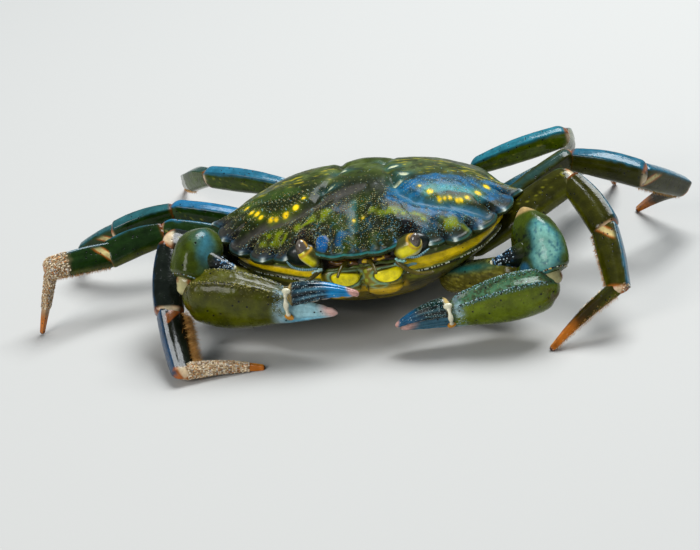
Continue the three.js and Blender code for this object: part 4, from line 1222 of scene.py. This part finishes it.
for side, k in claws.items():
    face, end, palm = CLAWS[side]["face"], k["end"], k["palm"]
    for at, count, low, high in ((-face * 0.32, 120, 0.1, 0.17), (face * 0.5, 115, 0.1, 0.17),
                                 (face * 0.6, 90, 0.07, 0.13),
                                 (-face * 0.22, 90, 0.07, 0.13)):
        u = np.linspace(0.1, 0.97, count) * end
        row = bead_row(palm, u, at + rng.normal(0, 0.04, count) + 0 * u, low, high)
        codes = ("#a8c4c6", "#5f909c", "#0e120e") if side == "l1" else ("#a8a060", "#6a6c24", "#20240f")
        add_beads(row, codes, (0.4, 0.25, 0.35))
    count = 420
    u, a = rng.uniform(0.05, 0.98, count) * end, face * rng.uniform(-0.5, 1.1, count)
    add_beads(bead_row(palm, u, a, 0.05, 0.09), ("#a29c54", "#5a6018"), (0.4, 0.6))
    u, a = rng.uniform(0.9, 1.0, 110) * end, face * rng.uniform(0.2, 1.7, 110)
    add_beads(bead_row(palm, u, a, 0.05, 0.1), ("#c4d6da", "#7fa8bc"), (0.5, 0.5))
    u, a = rng.uniform(0.06, 0.5, 240) ** 1.1, rng.uniform(0, 2 * np.pi, 240)
    add_beads(bead_row(k["finger"], u, a, 0.05, 0.09), ("#c3d0cc", "#7fa5b0"), (0.5, 0.5))
    count = 110
    lower = bead_row(k["block"], np.full(count, 0.93), np.linspace(0, 2 * np.pi, count), 0.15, 0.24)
    add_beads(lower,
              ("#c9d3c4", "#d8b95a", "#14180f") if side == "l1" else ("#9fb7bd", "#7a6a2a", "#101510"),
              (0.4, 0.2, 0.4))
    u = rng.uniform(0.4, 0.95, 150)
    add_beads(bead_row(k["thorn"], u, rng.uniform(0, 2 * np.pi, 150), 0.1, 0.2),
              ("#c3d3dc", "#6f9cc0", "#1a2430"), (0.4, 0.3, 0.3))
studs("beads_on_the_claws", np.vstack(bead_p), np.vstack(bead_n), np.concatenate(bead_r), np.vstack(bead_c),
      granule_look)
print(sum(map(len, bead_p)), "beads on the claws")

knuckles = []
for side, k in claws.items():
    spec = CLAWS[side]
    size, high, way = spec["size"], k["high"], k["way"]
    out = np.cross(way, high) * spec["face"]
    at = spec["hinge"]
    top = at + high * 3.2 * size + out * 1.4 * size + way * 0.5
    low = at - high * 1.9 * size + out * 2.3 * size + way * 0.7
    bar_piece = limb(top, low, out,
                     lambda u: (0.5 + 0.1 * np.cos(4 * np.pi * u), 0.42 + 0.12 * np.cos(4 * np.pi * u),
                                0.9 * np.sin(np.pi * u)),
                     60, 28, 2.2, 0.12, 0.12, relief=lambda q: 0.06 * (noise(q.rings, 0.6, 4) - 0.5))
    bar_piece.paint = over(plain(bar_piece, "#e9e4cc", 0.7, 1.1), "#8a6a30",
                           step(0.6, 0.8, clouds(bar_piece.rings, 0.9, 6)) * 0.5)
    knob = limb(low - high * 0.6 + way * 0.9, low + high * 0.3 - way * 0.9, out,
                lambda u: (0.5 + 0 * u, 0.7 + 0 * u, 0 * u),
                30, 32, 2.0, 0.5, 0.5)
    knob.paint = plain(knob, "#c08a1c", 0.7, 1.3, 0.8)
    cap = limb(top - way * 0.8, top + way * 1.0, out, lambda u: (0.55 + 0 * u, 0.7 + 0 * u, 0 * u), 30, 32,
               2.0, 0.5, 0.5)
    cap.paint = plain(cap, "#d9d6be", 0.8, 1.1)
    knuckles += [bar_piece, knob, cap]
skin("finger_knuckles", knuckles, "claw_shell", skin_look)

folds = []
for side, k in claws.items():
    spec = CLAWS[side]
    root, far = spec["root"], spec["far"]
    fold = limb(far + (0, 0, 2.4), root - k["high"] * 0.2, (0, -1, 0.3),
                lambda u: (2.2 - 0.4 * u, 2.7 - 0.5 * u, 0 * u), 40, 60, 2.2, 0.3, 0.3,
                relief=lambda q: 0.25 * (clouds(q.rings, 1.2, 5) - 0.5))
    fold.paint = over(plain(fold, "#b7b183", 0.5, 1.15), "#8a5a16",
                      step(0.5, 0.72, clouds(fold.rings, 1.6, 4)))
    folds.append(fold)
skin("claw_joint_skin", folds, "claw_shell", skin_look)

# %% [markdown]
# ## Face
# The eyes are short stalks with a dark egg-shaped cornea that sits in a socket cut into the front edge.
# Under them are two pairs of feelers and the outer pair of jaws, which close over the mouth like a pair of
# doors.

# %% Eyes
EYES = {  # stalk from and to, cornea's middle, its long axis and its half width and half length
    "l": (V(7.4, -18.6, -2.8), V(13.0, -18.6, -0.2), V(11.9, -19.5, -0.1), V(0.12, 0.05, 0.95), 1.2, 1.65),
    "r": (V(-7.7, -19.3, -3.3), V(-11.2, -18.9, 0.9), V(-10.6, -19.1, 0.6), V(-0.12, 0.05, 0.95), 1.3,
          1.95),
}
for side, (root, crown, middle, long_way, across_by, along_by) in EYES.items():
    long_way = unit(long_way)
    round_size = lambda u: (across_by + 0 * u, across_by + 0 * u, 0 * u)
    ends = in_body(middle - long_way * along_by), in_body(middle + long_way * along_by)
    eye = limb(*ends, turned((0, -1, 0)), round_size, 56, 72, 2.0, 0.5, 0.5)
    eye.paint = over(plain(eye, "#6e645a", 0.7, 1.2, 0.5, 41), "#c8a040",
                     hump(eye.s * (1 if side == "l" else -1) + 0.92, 0.1))
    skin(f"eye_{side}", [eye], "cornea", eye_look, f"eye_{side}")
    fat = 2.35 if side == "l" else 1.75

    def stalk_size(u):
        wide = fat * mix(0.7, 1, np.sin(np.pi * np.clip(u * 0.62, 0, 1)))
        return wide, wide, 0 * u

    stalk = limb(in_body(root), in_body(crown), (0, 0, 1), stalk_size, 70, 80, 2.0, 0.2, 0.42)
    cloud = clouds(stalk.rings, 1.2, 44)
    stalk.paint = over(plain(stalk, "#8c8a0a", 0.7, 1.2, 1.0, 43), "#efe414",
                       step(0.85, 0.3, np.abs(stalk.c + 0.1)) * 0.85)
    stalk.paint = over(stalk.paint, "#e6e2bd", step(-0.35, -0.85, stalk.c + 0.3 * (cloud - 0.5)) * 0.9)
    stalk.paint = over(stalk.paint, "#33341a", step(0.2, 0.8, stalk.c + 0.3 * (cloud - 0.5)) * 0.8)
    stalk.paint = over(stalk.paint, "#2c2a1c", step(0.3, 0.08, stalk.u) * 0.7)
    lip = np.linalg.norm(stalk.rings - in_body(middle), axis=-1) - mix(across_by, along_by, 0.45)
    stalk.paint = over(stalk.paint, "#c9a23a", hump(lip - 0.25, 0.2) * 0.9)
    skin(f"eyestalk_{side}", [stalk], "eyestalk", skin_look, f"eyestalk_{side}")


# %% Eye sockets and the bars under them
def bar(path, radius, n=90, m=24, relief=None):
    """A rounded bar along a smooth curve through points, in the body's frame."""
    t = np.linspace(0, 1, n)[:, None]
    line = smooth_table(path, t[:, 0])
    way = unit(np.gradient(line, axis=0))
    high = unit(np.cross(way, [0.1, 1, 0.2]))
    wide = np.cross(way, high)
    a = np.arange(m)[None] / m * 2 * np.pi
    full = radius * np.sqrt(np.clip(1 - np.abs(2 * t - 1) ** 6, 0.02, 1))
    if relief:
        full = full * (1 + relief(t, a))
    around = high[:, None] * (np.cos(a) * full)[..., None] + wide[:, None] * (np.sin(a) * full)[..., None]
    rings = line[:, None] + around
    return SimpleNamespace(rings=in_body(rings), caps=in_body(line[[0, -1]]), t=t + 0 * a, a=a + 0 * t)


socket_parts = []
for path, hollow in (
    ([(7.5, -19.4, -0.9), (8.5, -19.8, -2.3), (10.4, -20.0, -3.2), (12.3, -19.7, -3.3),
      (14.4, -18.6, -2.4)], (11.2, -17.4, -1.6)),
    ([(-14.4, -18.3, -2.1), (-13.1, -18.9, -3.3), (-10.7, -19.4, -3.9), (-8.0, -19.7, -3.7)],
     (-11.0, -17.3, -1.5)),
):
    edge = bar(path, 0.26, relief=lambda t, a: 0.1 * np.cos(t * 40 * np.pi))
    edge.paint = over(plain(edge, "#5f8a94", 0.6, 1.2, 1), "#b4d2d8",
                      step(0.2, 0.9, np.cos(edge.t * 40 * np.pi)) * 0.6)
    bowl = limb(in_body(V(*hollow) - V(3.4, 0, 0)), in_body(V(*hollow) + V(3.4, 0, 0)), (0, 0, 1),
                lambda u: (2.3 + 0 * u, 1.5 + 0 * u, 0 * u), 40, 48, 2.2, 0.4, 0.4)
    bowl.paint = plain(bowl, "#16261e", 0.5, 1.3)
    socket_parts += [edge, bowl]
# The first three bars lie under the eyes; their pale blue-green colour is a painted highlight along the
# edges below the sockets.
for path, radius, code in (
    ([(7.4, -19.6, -3.4), (8.6, -19.7, -4.0), (9.6, -19.4, -4.2)], 0.3, "#a6d6cf"),
    ([(-7.2, -19.6, -3.9), (-8.3, -19.8, -4.3), (-9.5, -19.5, -4.8)], 0.36, "#c2e2dc"),
    ([(6.9, -18.6, -4.9), (8.9, -18.9, -5.4), (11.5, -18.4, -5.4)], 0.3, "#7fa7a6"),
    ([(-6, -18.3, -3.2), (-3, -18.8, -3.7), (0, -18.9, -3.8)], 0.5, "#6a4a1c"),
    ([(0.6, -18.9, -3.7), (3.6, -18.8, -3.3), (6.6, -18.3, -3.1)], 0.5, "#6a4a1c"),
    ([(-7.2, -18.4, -5.0), (-3.2, -19.1, -4.6), (0.4, -19.2, -4.5)], 0.34, "#57651f"),
    ([(0.9, -19.2, -4.5), (4.6, -19.1, -4.1), (8.4, -18.3, -4.6)], 0.34, "#57651f"),
):
    part = bar(path, radius, relief=lambda t, a: 0.25 * np.sin(t * 17) * np.cos(a))
    part.paint = plain(part, code, 0.5, 1.25, 0.8)
    if code == "#6a4a1c":
        part.paint = over(part.paint, "#d8b818", step(0.52, 0.66, clouds(part.rings, 1.1, 48)))
    socket_parts.append(part)
skin("trunk", [trunk] + socket_parts, "under_shell", under_look, "trunk")

# %% Feelers and jaws
for side in "lr":
    out = 1 if side == "l" else -1
    for name, start, end, up, thick, bow in (
        ("antenna", V(out * 7.6, -19, -4.2), V(out * 15.5, -25.2, -4.6), (0, -0.5, -1), 0.65, 1.2),
        ("antennule", V(out * 2.2, -19, -3.6), V(out * 3.9, -23.3, -4.6), (0, 0, 1), 0.65, 0.8),
    ):
        size = lambda u: (thick * mix(1, 0.4, u**0.5), thick * mix(1, 0.4, u**0.5), bow * np.sin(np.pi * u))
        feeler = limb(in_body(start), in_body(end), turned(up), size, 90, 20, head=0.04, tail=0.04,
                      relief=lambda q: 0.04 * np.cos(q.u * 30 * 2 * np.pi))
        feeler.paint = over(plain(feeler, "#6e6420"), "#3a3214",
                            step(0.2, -0.6, np.cos(feeler.u * 60 * np.pi)) * 0.6)
        skin(f"{name}_{side}", [feeler], "feeler", skin_look, f"{name}_{side}")

    def jaw_relief(q, out=out):
        p = off_body(q.rings)
        dx, dz = (p[..., 0] - JAW_SPOTS[out]) / 3.1, (p[..., 2] + 6.9) / 1.55
        kidney = np.hypot(dx, dz + 0.16 * np.cos(2.2 * dx))
        return 0.35 * step(1.1, 0.7, kidney) - 0.3 * hump(kidney - 1.05,
                                                          0.12) - 0.35 * hump(p[..., 2] + 9.3, 0.25)

    jaw = limb(in_body((out * 4.3, -17.3, -4.5)), in_body((out * 4.3, -18.1, -11.5)), turned((0, -1, 0)),
               lambda u: (1.5 + 0 * u, 3.95 + 0 * u, 0 * u), 110, 130, 3.2, 0.25, 0.3, relief=jaw_relief)
    jaw.paint = face_paint(off_body(jaw.rings))
    skin(f"jaw_{side}", [jaw], "under_shell", under_look, f"jaw_{side}")

# %% [markdown]
# ## Underside
# The breastplate is crossed by the seams between its segments, and the narrow tail is folded forward under
# it. Its long triangle is a male's.

# %% Breastplate and tail
def flat_plate(outline, top, bottom, relief, n=60):
    """A plate seen from below: width and position of the outline at each y, rounded at the edge."""
    rows = np.array(outline, float)
    y = np.linspace(rows[:, 1].max() - 0.05, rows[:, 1].min() + 0.05, n)[:, None]
    order = np.argsort(rows[:, 1])
    half = np.interp(y, rows[order, 1], -rows[order, 0])
    a = np.linspace(0, 2 * np.pi, 120, endpoint=False)[None]
    c, s = np.cos(a), np.sin(a)
    bulge = (np.abs(c) ** 5 + np.abs(s) ** 5) ** (-1 / 5)
    x, lift = half * bulge * c, bulge * s
    z = (top + bottom) / 2 + (top - bottom) / 2 * lift + 0 * x
    p = np.stack([x, y + 0 * x, z], -1)
    p[..., 2] -= relief(p[..., 0], p[..., 1]) * step(0, -0.6, lift + 0 * x)
    return SimpleNamespace(rings=p, caps=np.array([p[0].mean(0), p[-1].mean(0)]))


def seams(x, y):
    across = sum(hump(y - 0.25 * np.abs(x) * k - at, 0.3) for k,
                 at in ((0.2, -5), (0.3, -1.5), (0.5, 2.5), (0.7, 7), (0.9, 11)))
    return -0.35 * across + 0.12 * clouds(np.stack([x, y, 0 * x], -1), 1.5, 2)


def tail_seams(x, y):
    return -0.35 * sum(hump(y - at, 0.25) for at in (-1.6, 1.8, 6.5, 11, 15.5)) + 0.3 * hump(x, 1.2)


for name, outline, top, bottom, carve, code, node_name in (
    ("breastplate", [(-11.5, 17), (-13, 3), (-11, -6.5), (-4.6, -9.2)], -13.7, -16.3, seams, "#9a8f55",
     "sternum"),
    ("tail_flap", [(-5.6, 20.5), (-4.9, 12), (-3.1, 4), (-1.9, -4.6)], -15.4, -17.2, tail_seams, "#8d8a4c",
     "abdomen"),
):
    piece = flat_plate(outline, top, bottom, carve)
    seam = np.clip(-carve(piece.rings[..., 0], piece.rings[..., 1]) / 0.35, 0, 1)
    piece.paint = over(plain(piece, code, 0.7, 1.2, 2), "#3a3316", seam * 0.8)
    piece.rings, piece.caps = in_body(piece.rings), in_body(piece.caps)
    skin(name, [piece], "under_shell", under_look, node_name)

# %% [markdown]
# ## Hair and sand
# Short brown hair fringes the inner edge of the front right leg and the lower edges of most other outer
# pieces. The last pieces of three legs wear a crust of sand and shell grains, which is modelled grain by
# grain.

# %% Hair fringes
BAKE_TILES = 3  # the map is a grid of 3 by 3 tiles: nine limbs, each unwrapped along and round
HAIR_RADIUS = 0.055
hair_at, hair_way, hair_long, hair_home = [], [], [], []
for side, kinds in (("r2", ("propodus",)), ("r3", ("propodus",)), ("l2", ("propodus", "dactylus")),
                    ("l3", ("propodus",)), ("r4", ("propodus",)),
                    ("l5", ("propodus",)), ("r5", ("propodus", "dactylus"))):
    for kind in kinds:
        piece = legs[side][kind]
        thick = 2600 if side == "r2" else 320
        u = rng.uniform(0.1, 0.93, thick)
        a = np.pi + rng.normal(0, 0.22, thick) if side != "r2" else np.pi + rng.normal(0.15, 0.3, thick)
        p, n = on_limb(piece, u, a)
        along = unit(piece.caps[1] - piece.caps[0])
        hair_at.append(p - n * 0.1)
        tile = len(hair_home)
        spot = np.stack([u, (a / (2 * np.pi)) % 1], -1) * 0.96 + 0.01
        hair_home.append((spot + [tile % BAKE_TILES, tile // BAKE_TILES]) / BAKE_TILES)
        hair_way.append(unit(n + along * rng.uniform(0.15, 0.6, (thick, 1))
                             + rng.normal(0, 0.16, (thick, 3))))
        hair_long.append(rng.uniform(0.7, 1.3, thick) * (2.0 if side == "r2" else 0.7))
roots, ways, homes = np.vstack(hair_at), np.vstack(hair_way), np.vstack(hair_home)
lengths = np.concatenate(hair_long)
bends = rng.normal(0, 0.12, roots.shape)
keep = (roots + ways * lengths[:, None])[:, 2] > 0.3
tone = mix(tint("#b07c3a"), tint("#e0b878"), rng.random((keep.sum(), 1)))
bristles("leg_hair_fringes", roots[keep], ways[keep], bends[keep], lengths[keep], HAIR_RADIUS, tone,
         homes[keep],
         hair_look)
print(keep.sum(), "bristles")

# %% Sand crust
grain_p, grain_n, grain_r = [], [], []
for side, kind, first, last, count in (("r2", "dactylus", 0.02, 0.8, 3200),
                                       ("r3", "dactylus", 0.02, 0.6, 2000),
                                       ("r3", "propodus", 0.68, 1.0, 1700),
                                       ("l2", "dactylus", 0.02, 0.5, 160),
                                       ("l2", "propodus", 0.92, 1.0, 50)):
    u, a = rng.uniform(first, last, count), rng.uniform(0, 2 * np.pi, count)
    if side == "l2":
        a = rng.normal(0.3, 0.4, count)
    p, n = on_limb(legs[side][kind], u, a)
    grain_p.append(p)
    grain_n.append(unit(n + rng.normal(0, 0.3, n.shape)))
    grain_r.append(rng.uniform(0.08, 0.26, count) * (0.8 if side == "l2" else 1))
p, n, r = np.vstack(grain_p), np.vstack(grain_n), np.concatenate(grain_r)
keep = p[:, 2] - r > 0.2
codes = [tint(c) for c in ("#c9b594", "#e2d6c0", "#ad9474", "#b98550", "#8a765e", "#bdb6ae")]
tone = np.array(codes)[rng.choice(6, keep.sum(), p=(0.3, 0.2, 0.2, 0.12, 0.1, 0.08))]
studs("sand_on_the_legs", p[keep], n[keep], r[keep], tone, grit_look, height=0.9, sides=5)
print(keep.sum(), "grains of sand")

# %% [markdown]
# ## Floor, light and camera
# A plain pale floor, one large soft lamp high behind the crab, a weaker one lower in front, and a faint even
# sky. The camera looks from a little to the left of the crab's front, well above the floor and slightly
# rolled.

# %% Floor, light and camera
floor_mesh = bpy.data.meshes.new("floor")
floor_mesh.from_pydata([(-1.5, -1.5, 0), (1.5, -1.5, 0), (1.5, 1.5, 0), (-1.5, 1.5, 0)], [], [(0, 1, 2, 3)])
floor = bpy.data.objects.new("floor", floor_mesh)
bpy.context.scene.collection.objects.link(floor)
paper = bpy.data.materials.new("pale floor")
paper.use_nodes = True
paper.node_tree.nodes["Principled BSDF"].inputs["Base Color"].default_value = (0.44, 0.43, 0.41, 1)
paper.node_tree.nodes["Principled BSDF"].inputs["Roughness"].default_value = 0.9
floor_mesh.materials.append(paper)

world = bpy.data.worlds.new("soft room")
bpy.context.scene.world = world
world.use_nodes = True
world.node_tree.nodes["Background"].inputs["Color"].default_value = (0.72, 0.86, 1.0, 1)
world.node_tree.nodes["Background"].inputs["Strength"].default_value = 0.24
bpy.context.scene.view_settings.view_transform = "Standard"


def lamp(name, at, size, power, tone, aim=(0, 0, 0.01)):
    light = bpy.data.lights.new(name, "AREA")
    light.shape, light.size, light.energy, light.color = "SQUARE", size, power, tone
    thing = bpy.data.objects.new(name, light)
    thing.location = at
    thing.rotation_euler = (Vector(aim) - Vector(at)).to_track_quat("-Z", "Y").to_euler()
    bpy.context.scene.collection.objects.link(thing)


lamp("high soft box", (0.2, 0.3, 0.75), 0.5, 12, (0.93, 0.97, 1.0))
lamp("front fill", (-0.42, -0.62, 0.42), 0.4, 4.2, (1.0, 0.98, 0.95))

AIM = np.array([-4, -5, 7.4])  # the point looked at, in the crab's own mm
DISTANCE = 450
azimuth, elevation, lean = np.radians([9, 25, 7])
back = np.array([np.sin(azimuth) * np.cos(elevation), -np.cos(azimuth) * np.cos(elevation),
                 np.sin(elevation)])
right = unit(np.cross(-back, [0, 0, 1]))
up = np.cross(right, -back)
across, upward = np.cos(lean) * right - np.sin(lean) * up, np.sin(lean) * right + np.cos(lean) * up
eye_at = (AIM + back * DISTANCE + PLACE) * MM
lens = bpy.data.cameras.new("camera")
lens.lens, lens.sensor_width = 112.5, 36
camera = bpy.data.objects.new("camera", lens)
rows = [[*(float(v[i]) for v in (across, upward, back)), float(eye_at[i])] for i in range(3)]
camera.matrix_world = Matrix(rows + [[0, 0, 0, 1]])
bpy.context.scene.collection.objects.link(camera)
bpy.context.scene.camera = camera
